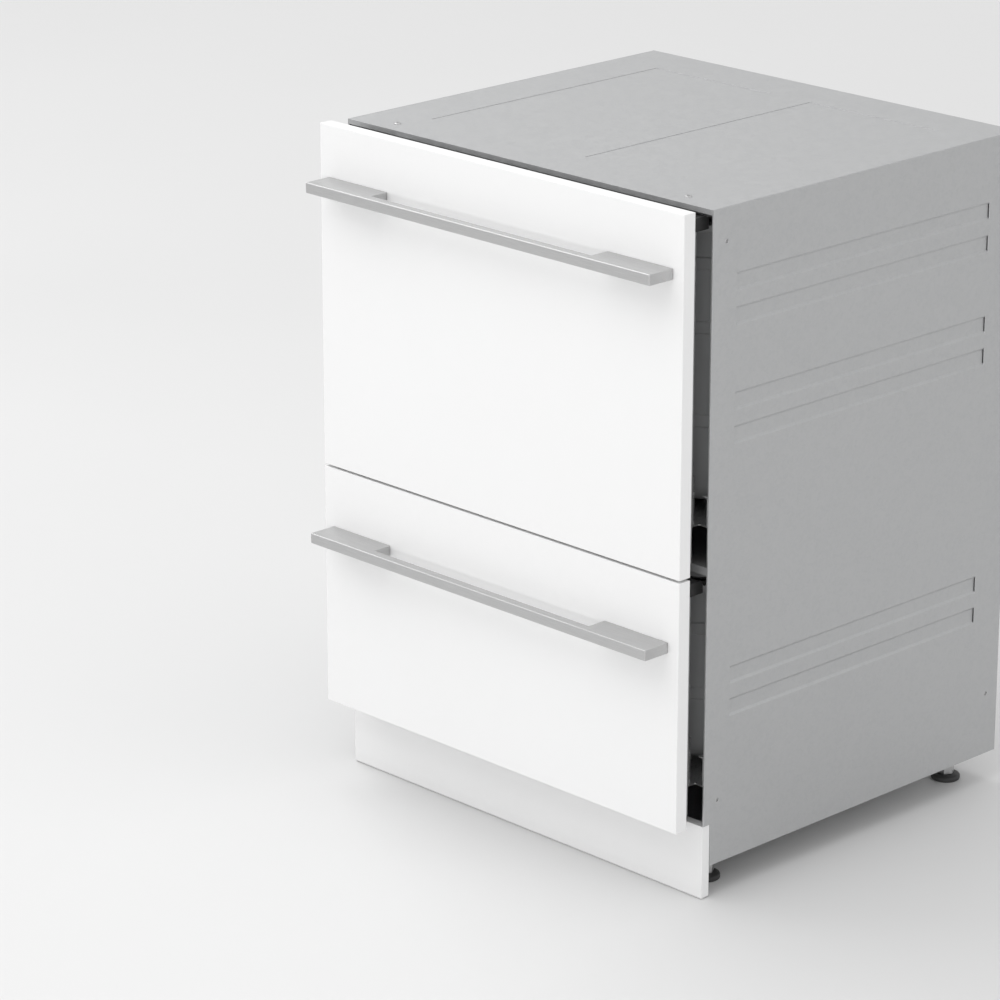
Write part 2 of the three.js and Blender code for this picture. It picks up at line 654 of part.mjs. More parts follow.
function chassisBack() {
  const half = CHASSIS_INSIDE - SEAT_GAP;
  const z0 = CHASSIS_BOTTOM + SHEET + SEAT_GAP;
  const z1 = CHASSIS_TOP - SHEET - SEAT_GAP;
  let back = box(-half, half, BACK_INSIDE, CHASSIS_BACK, z0, z1);
  for (const side of [-1, 1]) {
    back = back.add(
      sideBox(side, half - SHEET, half, BACK_INSIDE - FLANGE, BACK_INSIDE + SHEET / 2, z0, z1),
    );
  }
  for (const [low, high] of BACK_FIELDS) {
    const fieldHalf = half - BACK_FIELD_INSET;
    back = back.subtract(
      box(-fieldHalf, fieldHalf, CHASSIS_BACK - SHEET / 2, CHASSIS_BACK + OVERCUT, low, high),
    );
  }
  const outletHole = box(
    HOSE_END_X - OUTLET.halfWidth - SEAT_GAP,
    HOSE_END_X + OUTLET.halfWidth + SEAT_GAP,
    BACK_INSIDE - OVERCUT,
    CHASSIS_BACK + OVERCUT,
    OUTLET.bottom - SEAT_GAP,
    OUTLET.bottom + OUTLET.height + SEAT_GAP,
  );
  return back.subtract(outletHole);
}

function footPlaces() {
  const x = CHASSIS_WIDTH / 2 - FOOT_INSET_X;
  const front = TOE_KICK_BACK + FOOT_INSET_Y;
  const rear = CHASSIS_BACK - FOOT_INSET_Y;
  return [
    { name: "foot_front_left", x: -x, y: front },
    { name: "foot_front_right", x, y: front },
    { name: "foot_rear_left", x: -x, y: rear },
    { name: "foot_rear_right", x, y: rear },
  ];
}

function chassisBase() {
  const half = CHASSIS_INSIDE - SEAT_GAP;
  const y0 = TOE_KICK_BACK + SEAT_GAP;
  const y1 = BACK_INSIDE - SEAT_GAP;
  const top = CHASSIS_BOTTOM + SHEET;
  const rim = box(-half, half, y0, y1, CHASSIS_BOTTOM, CHASSIS_BOTTOM + BASE_UPSTAND);
  const tray = box(-half + SHEET, half - SHEET, y0 + SHEET, y1 - SHEET, top, CHASSIS_TOP);
  let base = cut(rim, tray);
  // The rear upstand is lower, under the back sheet's flanges and the hose outlet.
  base = base.subtract(
    box(
      -half - OVERCUT,
      half + OVERCUT,
      BACK_INSIDE - FLANGE - OVERCUT,
      y1 + OVERCUT,
      top,
      CHASSIS_TOP,
    ),
  );
  for (const { x, y } of footPlaces()) {
    const nut = upright(x, y, CHASSIS_BOTTOM + SHEET / 2, top + WELD_NUT_HEIGHT, WELD_NUT_RADIUS, 6);
    const hole = upright(
      x,
      y,
      CHASSIS_BOTTOM - OVERCUT,
      top + WELD_NUT_HEIGHT + OVERCUT,
      STUD_RADIUS + STUD_CLEARANCE,
      16,
    );
    base = base.add(nut).subtract(hole);
  }
  return base;
}

function levellingFoot() {
  const hexTop = FOOT_PAD_HEIGHT + FOOT_HEX_HEIGHT;
  return join(
    upright(0, 0, 0, FOOT_PAD_HEIGHT, FOOT_PAD_RADIUS, 24),
    upright(0, 0, FOOT_PAD_HEIGHT / 2, hexTop, FOOT_HEX_RADIUS, 6),
    upright(0, 0, FOOT_PAD_HEIGHT, STUD_TOP, STUD_RADIUS, 12),
  );
}

function crossRail() {
  const half = CHASSIS_INSIDE - FRONT_HEM - SEAT_GAP;
  const y0 = CHASSIS_SET_BACK + CROSS_RAIL_SET_BACK;
  const y1 = y0 + CROSS_RAIL_DEPTH;
  return cut(
    box(-half, half, y0, y1, CROSS_RAIL_BOTTOM, CROSS_RAIL_TOP),
    box(
      -half - OVERCUT,
      half + OVERCUT,
      y0 + CROSS_RAIL_SHEET,
      y1 + OVERCUT,
      CROSS_RAIL_BOTTOM + CROSS_RAIL_SHEET,
      CROSS_RAIL_TOP - CROSS_RAIL_SHEET,
    ),
  );
}

function toeKick() {
  const half = PANEL_WIDTH / 2;
  return box(-half, half, TOE_KICK_SET_BACK, TOE_KICK_BACK, TOE_KICK_FLOOR_GAP, TOE_KICK_TOP);
}

// ---------------------------------------------------------------- runners

// A C-shaped runner member that opens towards the tub.
function channel(side, web, lip, height, y0, y1) {
  const low = RUNNER_Z - height / 2;
  const high = RUNNER_Z + height / 2;
  return cut(
    sideBox(side, lip, web, y0, y1, low, high),
    sideBox(
      side,
      lip - OVERCUT,
      web - RUNNER_SHEET,
      y0 - OVERCUT,
      y1 + OVERCUT,
      low + RUNNER_SHEET,
      high - RUNNER_SHEET,
    ),
  );
}

// The back end of the fixed member is closed and stops the other two.
function fixedRunner() {
  const lip = FIXED_WEB - RUNNER_LIP;
  const low = RUNNER_Z - RUNNER_HEIGHT / 2;
  return join(
    channel(1, FIXED_WEB, lip, RUNNER_HEIGHT, RUNNER_START, RUNNER_END),
    box(lip, FIXED_WEB, RUNNER_END - RUNNER_SHEET, RUNNER_END, low, low + RUNNER_HEIGHT),
  );
}

function middleRunner() {
  const end = RUNNER_END - RUNNER_SHEET - SEAT_GAP;
  return channel(1, MIDDLE_WEB, FIXED_WEB - RUNNER_LIP, MIDDLE_HEIGHT, RUNNER_START, end);
}

// ---------------------------------------------------------------- drawer: front

function frontPanel(drawer) {
  const half = PANEL_WIDTH / 2;
  const bottom = drawer.panelBottom - drawer.floor;
  return box(-half, half, 0, PANEL_THICKNESS, bottom, bottom + drawer.panelHeight);
}

// Two solid end blocks carry a slim bar, with a finger gap behind it.
function handle(drawer) {
  const end = HANDLE_LENGTH / 2;
  const inner = end - HANDLE_BLOCK_LENGTH;
  const back = -SEAT_GAP;
  const front = back - HANDLE_PROJECTION;
  const barBack = front + HANDLE_BAR_DEPTH;
  const top = drawer.panelBottom + drawer.panelHeight - drawer.handleDrop - drawer.floor;
  const outline = [
    [-end, front],
    [end, front],
    [end, back],
    [inner, back],
    [inner, barBack],
    [-inner, barBack],
    [-inner, back],
    [-end, back],
  ].map(([x, y]) => new THREE.Vector2(x, y));
  return raised(outline, top - HANDLE_HEIGHT, top);
}

function stripTop(drawer) {
  return drawer.panelBottom + drawer.panelHeight - STRIP_DROP - drawer.floor;
}

function doorFrame(drawer) {
  const z0 = drawer.panelBottom + FRAME_INSET_BOTTOM - drawer.floor;
  const z1 = stripTop(drawer) - STRIP_HEIGHT - SEAT_GAP;
  const y0 = PANEL_THICKNESS + SEAT_GAP;
  return cut(
    box(-FRAME_HALF_WIDTH, FRAME_HALF_WIDTH, y0, FRAME_BACK, z0, z1),
    box(
      -FRAME_HALF_WIDTH + FRAME_SHEET,
      FRAME_HALF_WIDTH - FRAME_SHEET,
      y0 - OVERCUT,
      FRAME_BACK - FRAME_SHEET,
      z0 + FRAME_SHEET,
      z1 - FRAME_SHEET,
    ),
  );
}

// A long strip with its back upper edge cut away, and a round pocket for the button.
function controlStrip(drawer) {
  const top = stripTop(drawer);
  const bottom = top - STRIP_HEIGHT;
  const front = PANEL_THICKNESS + SEAT_GAP;
  const strip = alongX(
    [
      [front, bottom],
      [STRIP_BACK, bottom],
      [STRIP_BACK, top - STRIP_CHAMFER],
      [STRIP_BACK - STRIP_CHAMFER, top],
      [front, top],
    ],
    -FRAME_HALF_WIDTH,
    FRAME_HALF_WIDTH,
  );
  const pocketFloor = buttonTop(drawer) - BUTTON_HEIGHT - BUTTON_TRAVEL - SEAT_GAP;
  const pocketRadius = BUTTON_RADIUS + BUTTON_POCKET_PLAY;
  return strip.subtract(upright(BUTTON_X, buttonY(), pocketFloor, top + OVERCUT, pocketRadius, 24));
}

function buttonY() {
  return (PANEL_THICKNESS + STRIP_BACK - STRIP_CHAMFER) / 2;
}

function buttonTop(drawer) {
  return stripTop(drawer) + BUTTON_PROUD;
}

function powerButton(drawer) {
  const top = buttonTop(drawer);
  return upright(BUTTON_X, buttonY(), top - BUTTON_HEIGHT, top, BUTTON_RADIUS, 24);
}

// ---------------------------------------------------------------- drawer: cradle and tub

// Two drawer rails with shelves under the tub, tied by a beam at the back and a folded sheet in front.
function cradle() {
  const shelfBottom = SHELF_TOP - SHELF_SHEET;
  const front = FRAME_BACK + SEAT_GAP;
  const beamHalf = RAIL_WEB - RUNNER_LIP;
  let made = join(
    box(
      -beamHalf,
      beamHalf,
      CRADLE_REAR_BEAM,
      CRADLE_REAR_BEAM + CRADLE_BEAM_DEPTH,
      SHELF_TOP - CRADLE_BEAM_HEIGHT,
      SHELF_TOP,
    ),
    box(
      -FRAME_HALF_WIDTH,
      FRAME_HALF_WIDTH,
      front,
      front + CRADLE_FRONT_SHEET,
      shelfBottom,
      SHELF_TOP + CRADLE_FRONT_RISE,
    ),
    box(
      -FRAME_HALF_WIDTH,
      FRAME_HALF_WIDTH,
      front + CRADLE_FRONT_SHEET / 2,
      DRAWER_RAIL_START + CRADLE_BEAM_DEPTH,
      shelfBottom,
      SHELF_TOP,
    ),
  );
  for (const side of [-1, 1]) {
    const rail = channel(
      side,
      RAIL_WEB,
      RAIL_WEB - DRAWER_RAIL_LIP,
      RAIL_HEIGHT,
      DRAWER_RAIL_START,
      DRAWER_RAIL_END,
    );
    const shelf = sideBox(
      side,
      SHELF_INNER,
      RAIL_WEB - RUNNER_SHEET / 2,
      DRAWER_RAIL_START,
      CRADLE_REAR_BEAM + CRADLE_BEAM_DEPTH / 2,
      shelfBottom,
      SHELF_TOP,
    );
    made = made.add(rail).add(shelf);
  }
  return made;
}

// The tub's shell, skinned from the outside of the sump up to the rim and down again on the inside.
function tubShell(rim) {
  const wall = (grow) => roundedOutline(TUB_HALF_WIDTH + grow, TUB_HALF_DEPTH + grow, TUB_CORNER + grow);
  const round = (radius) => roundedOutline(radius, radius, radius * SUMP_ROUNDNESS);
  const knee = FLOOR_FILLET * (1 - Math.SQRT1_2);
  const under = FLOOR_RISE - TUB_WALL;
  const lipInner = RIM_WIDTH - TUB_WALL;
  return skinned([
    { outline: round(SUMP_RADIUS - SUMP_TAPER + TUB_WALL), z: -SUMP_DEPTH - TUB_WALL },
    { outline: round(SUMP_RADIUS + TUB_WALL), z: -TUB_WALL },
    { outline: wall(TUB_WALL - FLOOR_FILLET), z: under },
    { outline: wall(TUB_WALL - knee), z: under + knee },
    { outline: wall(TUB_WALL), z: under + FLOOR_FILLET },
    { outline: wall(TUB_WALL), z: rim - RIM_THICKNESS },
    { outline: wall(lipInner), z: rim - RIM_THICKNESS },
    { outline: wall(lipInner), z: rim - RIM_LIP },
    { outline: wall(RIM_WIDTH), z: rim - RIM_LIP },
    { outline: wall(RIM_WIDTH), z: rim - RIM_CHAMFER },
    { outline: wall(RIM_WIDTH - RIM_CHAMFER), z: rim },
    { outline: wall(RIM_CHAMFER), z: rim },
    { outline: wall(0), z: rim - RIM_CHAMFER },
    { outline: wall(0), z: FLOOR_RISE + FLOOR_FILLET },
    { outline: wall(-knee), z: FLOOR_RISE + knee },
    { outline: wall(-FLOOR_FILLET), z: FLOOR_RISE },
    { outline: round(SUMP_RADIUS), z: 0 },
    { outline: round(SUMP_RADIUS - SUMP_TAPER), z: -SUMP_DEPTH },
  ]);
}

function tub(drawer) {
  let made = tubShell(drawer.rim);
  const postTop = PLATE_TOP - PLATE_THICKNESS - SEAT_GAP;
  for (const angle of POST_ANGLES) {
    const x = POST_CIRCLE * Math.cos(angle);
    const y = TUB_CENTRE_Y + POST_CIRCLE * Math.sin(angle);
    made = made.add(upright(x, y, -SUMP_DEPTH - TUB_WALL / 2, postTop, POST_RADIUS, 8));
  }
  for (const [x, y] of rackFeet()) {
    const root = FLOOR_RISE - TUB_WALL / 2;
    made = made.add(upright(x, y, root, RACK_BOSS_TOP, RACK_BOSS_RADIUS, 12));
  }
  for (const side of [-1, 1]) {
    const rib = sideBox(
      side,
      RUNNER_RIB_X,
      RUNNER_RIB_X + RUNNER_RIB_WIDTH,
      TUB_CENTRE_Y - RUNNER_RIB_HALF_LENGTH,
      TUB_CENTRE_Y + RUNNER_RIB_HALF_LENGTH,
      -RUNNER_RIB_DROP,
      FLOOR_RISE - TUB_WALL / 2,
    );
    made = made.add(rib);
  }
  const spigotRoot = TUB_CENTRE_Y + TUB_HALF_DEPTH + TUB_WALL / 2;
  made = made.add(
    bar([SPIGOT_X, spigotRoot, SPIGOT_Z], [SPIGOT_X, spigotEnd(), SPIGOT_Z], SPIGOT_RADIUS, 12),
  );
  const sumpBottom = -SUMP_DEPTH - TUB_WALL;
  const shaftHole = SHAFT_RADIUS + SHAFT_PLAY;
  return made.subtract(
    upright(0, TUB_CENTRE_Y, sumpBottom - OVERCUT, -SUMP_DEPTH + OVERCUT, shaftHole, 16),
  );
}

function spigotEnd() {
  return TUB_CENTRE_Y + TUB_HALF_DEPTH + TUB_WALL + SPIGOT_LENGTH;
}

// ---------------------------------------------------------------- drawer: washing parts

function washMotor() {
  const top = -SUMP_DEPTH - TUB_WALL - SEAT_GAP;
  const bottom = top - MOTOR_HEIGHT;
  const boxFront = TUB_CENTRE_Y - MOTOR_RADIUS - MOTOR_BOX.depth / 2;
  return join(
    upright(0, TUB_CENTRE_Y, bottom, top, MOTOR_RADIUS, 28),
    upright(0, TUB_CENTRE_Y, bottom + MOTOR_BOX.lift, SHAFT_TOP, SHAFT_RADIUS, 14),
    box(
      -MOTOR_BOX.width / 2,
      MOTOR_BOX.width / 2,
      boxFront,
      boxFront + MOTOR_BOX.depth,
      bottom + MOTOR_BOX.lift,
      bottom + MOTOR_BOX.lift + MOTOR_BOX.height,
    ),
  );
}

// Each blade curves to one side and narrows towards its tip.
function sprayArm() {
  const steps = 10;
  const leading = [];
  const trailing = [];
  for (let step = 0; step <= steps; step++) {
    const t = (2 * step) / steps - 1;
    const x = t * ARM_RADIUS;
    const middle = ARM_SWEEP * Math.sin(Math.PI * t);
    const taper = ARM_ROOT_WIDTH + (ARM_TIP_WIDTH - ARM_ROOT_WIDTH) * Math.abs(t);
    const half = step === 0 || step === steps ? taper * 0.28 : taper / 2;
    leading.push(new THREE.Vector2(x, TUB_CENTRE_Y + middle - half));
    trailing.unshift(new THREE.Vector2(x, TUB_CENTRE_Y + middle + half));
  }
  const blades = raised([...leading, ...trailing], ARM_BOTTOM, ARM_BOTTOM + ARM_THICKNESS);
  const hub = upright(0, TUB_CENTRE_Y, HUB_BOTTOM, HUB_TOP, HUB_RADIUS, 20);
  const bore = upright(
    0,
    TUB_CENTRE_Y,
    HUB_BOTTOM - OVERCUT,
    SHAFT_TOP + SEAT_GAP,
    SHAFT_RADIUS + SHAFT_PLAY,
    16,
  );
  return join(blades, hub).subtract(bore);
}

function filterPlate() {
  const bottom = PLATE_TOP - PLATE_THICKNESS;
  let plate = upright(0, TUB_CENTRE_Y, bottom, PLATE_TOP, PLATE_RADIUS, 32);
  const below = bottom - OVERCUT;
  const above = PLATE_TOP + OVERCUT;
  const through = (x, y, radius, sides) => upright(x, y, below, above, radius, sides);
  plate = cut(
    plate,
    through(0, TUB_CENTRE_Y, SHAFT_RADIUS + FILTER_PLAY, 16),
    through(FILTER_OFFSET, TUB_CENTRE_Y, FILTER_RADIUS + FILTER_PLAY, 24),
  );
  // Drain slots, on the half away from the drain filter
  for (const offset of PLATE_SLOTS.offsets) {
    const y = TUB_CENTRE_Y + offset;
    const half = PLATE_SLOTS.width / 2;
    plate = plate.subtract(box(PLATE_SLOTS.x0, PLATE_SLOTS.x1, y - half, y + half, below, above));
  }
  return plate;
}

function drainFilter() {
  const flangeBottom = PLATE_TOP + SEAT_GAP;
  const flangeTop = flangeBottom + FILTER_FLANGE;
  const at = (z0, z1, radius, sides = 20) =>
    upright(FILTER_OFFSET, TUB_CENTRE_Y, z0, z1, radius, sides);
  const cup = cut(
    at(FILTER_BOTTOM, flangeBottom + FILTER_FLANGE / 2, FILTER_RADIUS),
    at(FILTER_BOTTOM - OVERCUT, flangeBottom, FILTER_RADIUS - FILTER_WALL),
  );
  const grip = box(
    FILTER_OFFSET - FILTER_GRIP.length / 2,
    FILTER_OFFSET + FILTER_GRIP.length / 2,
    TUB_CENTRE_Y - FILTER_GRIP.width / 2,
    TUB_CENTRE_Y + FILTER_GRIP.width / 2,
    flangeTop - FILTER_FLANGE / 2,
    flangeTop + FILTER_GRIP.height,
  );
  return join(cup, at(flangeBottom, flangeTop, FILTER_FLANGE_RADIUS, 24), grip);
}

// ---------------------------------------------------------------- drawer: rack and what it holds

function columnX(column) {
  return -RACK_HALF_WIDTH + (2 * RACK_HALF_WIDTH * column) / (RACK_COLUMNS - 1);
}

function rowY(row) {
  return TUB_CENTRE_Y - RACK_HALF_DEPTH + (2 * RACK_HALF_DEPTH * row) / (RACK_ROWS - 1);
}

function rackFeet() {
  return [-1, 1].flatMap((sx) =>
    [-1, 1].map((sy) => [sx * RACK_FOOT_X, TUB_CENTRE_Y + sy * RACK_FOOT_Y]),
  );
}

// A square wire between two points that differ along one axis.
function wire(a, b) {
  const half = WIRE / 2;
  const low = a.map((value, axis) => Math.min(value, b[axis]) - half);
  const high = a.map((value, axis) => Math.max(value, b[axis]) + half);
  return box(low[0], high[0], low[1], high[1], low[2], high[2]);
}

// A block with a hole along Y for a round pivot.
function pivotClip(x, y, z, bottom) {
  const hole = PIVOT_RADIUS + CLIP.play;
  const block = box(
    x - CLIP.width / 2,
    x + CLIP.width / 2,
    y - CLIP.length / 2,
    y + CLIP.length / 2,
    bottom,
    z + hole + CLIP.wall,
  );
  return block.subtract(bar([x, y - CLIP.length, z], [x, y + CLIP.length, z], hole, 12));
}

// Round pins at both ends of a folding piece, and the places of the two clips that hold them.
function clipYs(halfLength) {
  return [-1, 1].map((side) => TUB_CENTRE_Y + side * (halfLength - CLIP.length / 2));
}

function pivotPins(x, z, halfLength) {
  const reach = CLIP.length + PIN_INSET;
  return [-1, 1].map((side) => {
    const tip = TUB_CENTRE_Y + side * halfLength;
    return bar([x, tip, z], [x, tip - side * reach, z], PIVOT_RADIUS, 8);
  });
}

function tineYs() {
  return Array.from(
    { length: TINE_COUNT },
    (_, i) => TUB_CENTRE_Y + (i - (TINE_COUNT - 1) / 2) * TINE_PITCH,
  );
}

function foldZ() {
  return RACK_FLOOR_TOP + PIVOT_LIFT + PIVOT_RADIUS;
}

function foldHalfLength() {
  return ((TINE_COUNT - 1) * TINE_PITCH) / 2 + PIN_INSET + CLIP.length;
}

// The rack's edges, drawn in or out by one distance all round, as a block from z0 to z1.
function rackBlock(grow, z0, z1) {
  return box(
    columnX(0) - grow,
    columnX(RACK_COLUMNS - 1) + grow,
    rowY(0) - grow,
    rowY(RACK_ROWS - 1) + grow,
    z0,
    z1,
  );
}

// The rack's floor is one grid of wires.
function rackGrid() {
  const half = WIRE / 2;
  let grid = rackBlock(half, RACK_BASE, RACK_FLOOR_TOP);
  for (let column = 0; column + 1 < RACK_COLUMNS; column++) {
    for (let row = 0; row + 1 < RACK_ROWS; row++) {
      const opening = box(
        columnX(column) + half,
        columnX(column + 1) - half,
        rowY(row) + half,
        rowY(row + 1) - half,
        RACK_BASE - OVERCUT,
        RACK_FLOOR_TOP + OVERCUT,
      );
      grid = grid.subtract(opening);
    }
  }
  return grid;
}

function rackRing(z) {
  const half = WIRE / 2;
  return cut(rackBlock(half, z - half, z + half), rackBlock(-half, z - WIRE, z + WIRE));
}

// Where upright wires stand round the edge: at every column in front and behind, and at every row between.
function rackUprights() {
  const places = [];
  for (let column = 0; column < RACK_COLUMNS; column++) {
    places.push([columnX(column), rowY(0)], [columnX(column), rowY(RACK_ROWS - 1)]);
  }
  for (let row = 1; row + 1 < RACK_ROWS; row++) {
    places.push([columnX(0), rowY(row)], [columnX(RACK_COLUMNS - 1), rowY(row)]);
  }
  return places;
}

// A foot stands under a short wire between the rack's edge and the next wire in.
function rackFoot(x, y) {
  const z = RACK_BASE + WIRE / 2;
  const front = y < TUB_CENTRE_Y;
  const edge = front ? rowY(0) : rowY(RACK_ROWS - 1);
  const next = front ? rowY(1) : rowY(RACK_ROWS - 2);
  const footBottom = RACK_BOSS_TOP + SEAT_GAP + WIRE / 2;
  return join(wire([x, edge, z], [x, next, z]), wire([x, y, footBottom], [x, y, z]));
}

function rack(drawer) {
  const z = RACK_BASE + WIRE / 2;
  const topZ = z + drawer.rackWall;
  let made = rackGrid();
  for (const [x, y] of rackUprights()) made = made.add(wire([x, y, z], [x, y, topZ]));
  for (const height of drawer.rackRings) made = made.add(rackRing(z + height));
  for (const column of FIXED_TINE_COLUMNS) {
    const x = columnX(column);
    for (const y of tineYs()) made = made.add(wire([x, y, z], [x, y, z + TINE_HEIGHT]));
  }
  for (const [x, y] of rackFeet()) made = made.add(rackFoot(x, y));
  for (const y of clipYs(foldHalfLength())) {
    made = made.add(pivotClip(columnX(FOLD_TINE_COLUMN), y, foldZ(), RACK_BASE + WIRE / 4));
  }
  if (drawer.cupRack) {
    for (const y of clipYs(CUP_RACK.length / 2)) {
      const earEnd = cupPivotX() - PIVOT_RADIUS - CLIP.play - CLIP.wall / 4;
      const low = topZ - CLIP.ear / 2;
      const ear = box(columnX(0), earEnd, y - CLIP.ear, y + CLIP.ear, low, low + CLIP.ear);
      made = made.add(pivotClip(cupPivotX(), y, topZ, topZ - WIRE - CLIP.wall)).add(ear);
    }
  }
  return made;
}

function foldTines() {
  const x = columnX(FOLD_TINE_COLUMN);
  const z = foldZ();
  const ys = tineYs();
  let made = join(wire([x, ys[0], z], [x, ys[TINE_COUNT - 1], z]), ...pivotPins(x, z, foldHalfLength()));
  for (const y of ys) made = made.add(wire([x, y, z], [x, y, z + TINE_HEIGHT]));
  return made;
}

function cupPivotX() {
  return columnX(0) + CUP_PIVOT_INSET;
}

// A flat shelf of wires that pivots along the rack's left side.
function cupRack(drawer) {
  const z = RACK_BASE + WIRE / 2 + drawer.rackWall;
  const x0 = cupPivotX();
  const x1 = x0 + CUP_RACK.reach;
  const halfLength = CUP_RACK.length / 2;
  const barSpan = halfLength - CLIP.length - PIN_INSET;
  const y0 = TUB_CENTRE_Y - barSpan;
  const y1 = TUB_CENTRE_Y + barSpan;
  let made = join(
    wire([x0, y0, z], [x0, y1, z]),
    wire([x1, y0, z], [x1, y1, z]),
    ...pivotPins(x0, z, halfLength),
  );
  for (let i = 0; i < CUP_RACK.bars; i++) {
    const y = y0 + ((y1 - y0) * i) / (CUP_RACK.bars - 1);
    made = made.add(wire([x0, y, z], [x1, y, z]));
  }
  return made;
}

function cutleryBasket() {
  const { inset, width, halfLength, height, wall, sill, band, slots, slotWidth } = BASKET;
  const x1 = RACK_HALF_WIDTH - inset;
  const x0 = x1 - width;
  const y0 = TUB_CENTRE_Y - halfLength;
  const y1 = TUB_CENTRE_Y + halfLength;
  const z0 = RACK_FLOOR_TOP + SEAT_GAP;
  const z1 = z0 + height;
  let basket = cut(
    box(x0, x1, y0, y1, z0, z1),
    box(x0 + wall, x1 - wall, y0 + wall, y1 - wall, z0 + wall, z1 + OVERCUT),
  );
  const divider = box(
    x0 + wall / 2,
    x1 - wall / 2,
    TUB_CENTRE_Y - wall / 2,
    TUB_CENTRE_Y + wall / 2,
    z0 + wall / 2,
    z1,
  );
  basket = basket.add(divider);
  const pitch = (2 * halfLength) / (slots + 1);
  for (let i = 1; i <= slots; i++) {
    const y = y0 + i * pitch;
    if (Math.abs(y - TUB_CENTRE_Y) < slotWidth) continue; // the divider stands here
    const near = y - slotWidth / 2;
    const far = y + slotWidth / 2;
    basket = cut(
      basket,
      box(x0 - OVERCUT, x1 + OVERCUT, near, far, z0 + sill, z1 - band),
      box(x0 + sill, x1 - sill, near, far, z0 - OVERCUT, z0 + wall + OVERCUT),
    );
  }
  return basket;
}

// ---------------------------------------------------------------- drawer: dispenser

function dispenserPlace(drawer) {
  const front = TUB_CENTRE_Y - TUB_HALF_DEPTH + SEAT_GAP;
  const top = drawer.rim - DISPENSER.topBelowRim;
  const face = front + DISPENSER.depth;
  const bottom = top - DISPENSER.height;
  const cupMiddle = (top + bottom) / 2;
  const doorBottom = cupMiddle - CUP.height / 2 - CUP_DOOR.overlap;
  return {
    front,
    face,
    top,
    bottom,
    cupMiddle,
    doorBottom,
    doorTop: cupMiddle + CUP.height / 2 + CUP_DOOR.overlap,
    hingeY: face - CUP_DOOR.thickness / 2,
    hingeZ: doorBottom + CUP_DOOR.thickness / 2,
  };
}

function dispenser(drawer) {
  const at = dispenserPlace(drawer);
  const half = CUP.width / 2;
  const doorHalf = half + CUP_DOOR.overlap;
  const body = box(DISPENSER.x0, DISPENSER.x1, at.front, at.face, at.bottom, at.top);
  const cap = bar(
    [RINSE_CAP_X, at.face - OVERCUT, at.cupMiddle],
    [RINSE_CAP_X, at.face + RINSE_CAP_PROUD, at.cupMiddle],
    RINSE_CAP_RADIUS,
    20,
  );
  const recess = box(
    CUP.x - doorHalf - CUP_DOOR.play,
    CUP.x + doorHalf + CUP_DOOR.play,
    at.hingeY - DOOR_SWING_CLEARANCE,
    at.face + OVERCUT,
    at.hingeZ - DOOR_SWING_CLEARANCE,
    at.doorTop + CUP_DOOR.play,
  );
  const cup = box(
    CUP.x - half,
    CUP.x + half,
    at.hingeY - DOOR_SWING_CLEARANCE - CUP.depth,
    at.face,
    at.cupMiddle - CUP.height / 2,
    at.cupMiddle + CUP.height / 2,
  );
  return join(body, cap).subtract(recess).subtract(cup);
}

function dispenserDoor(drawer) {
  const at = dispenserPlace(drawer);
  const half = CUP.width / 2 + CUP_DOOR.overlap;
  return box(
    CUP.x - half,
    CUP.x + half,
    at.face - CUP_DOOR.thickness,
    at.face,
    at.doorBottom,
    at.doorTop,
  );
}

// ---------------------------------------------------------------- lids

function lidHalfWidth() {
  return RIM_HALF_WIDTH + LID_OVERHANG;
}

function lidHalfDepth() {
  return RIM_HALF_DEPTH - LID_SHORTFALL;
}

function pegTip() {
  return lidHalfWidth() + LUG_THICKNESS - PEG_REACH;
}

// The pegs that guide a lid stand on the chassis sides; at rest the lid is up and they are low in its slots.
function pegHeight(drawer) {
  return drawer.lidTop - LID_HEIGHT + (LID_HEIGHT - LID_TRAVEL) / 2;
}

function outlineRing(halfWidth, halfDepth, radius, width, z0, z1) {
  const outer = roundedOutline(halfWidth, halfDepth, radius);
  const inner = roundedOutline(halfWidth - width, halfDepth - width, radius - width);
  return raised(outer, z0, z1, [inner]);
}

function sealOutline() {
  const grow = RIM_MIDDLE + SEAL_WIDTH / 2;
  return {
    halfWidth: TUB_HALF_WIDTH + grow,
    halfDepth: TUB_HALF_DEPTH + grow,
    radius: TUB_CORNER + grow,
  };
}

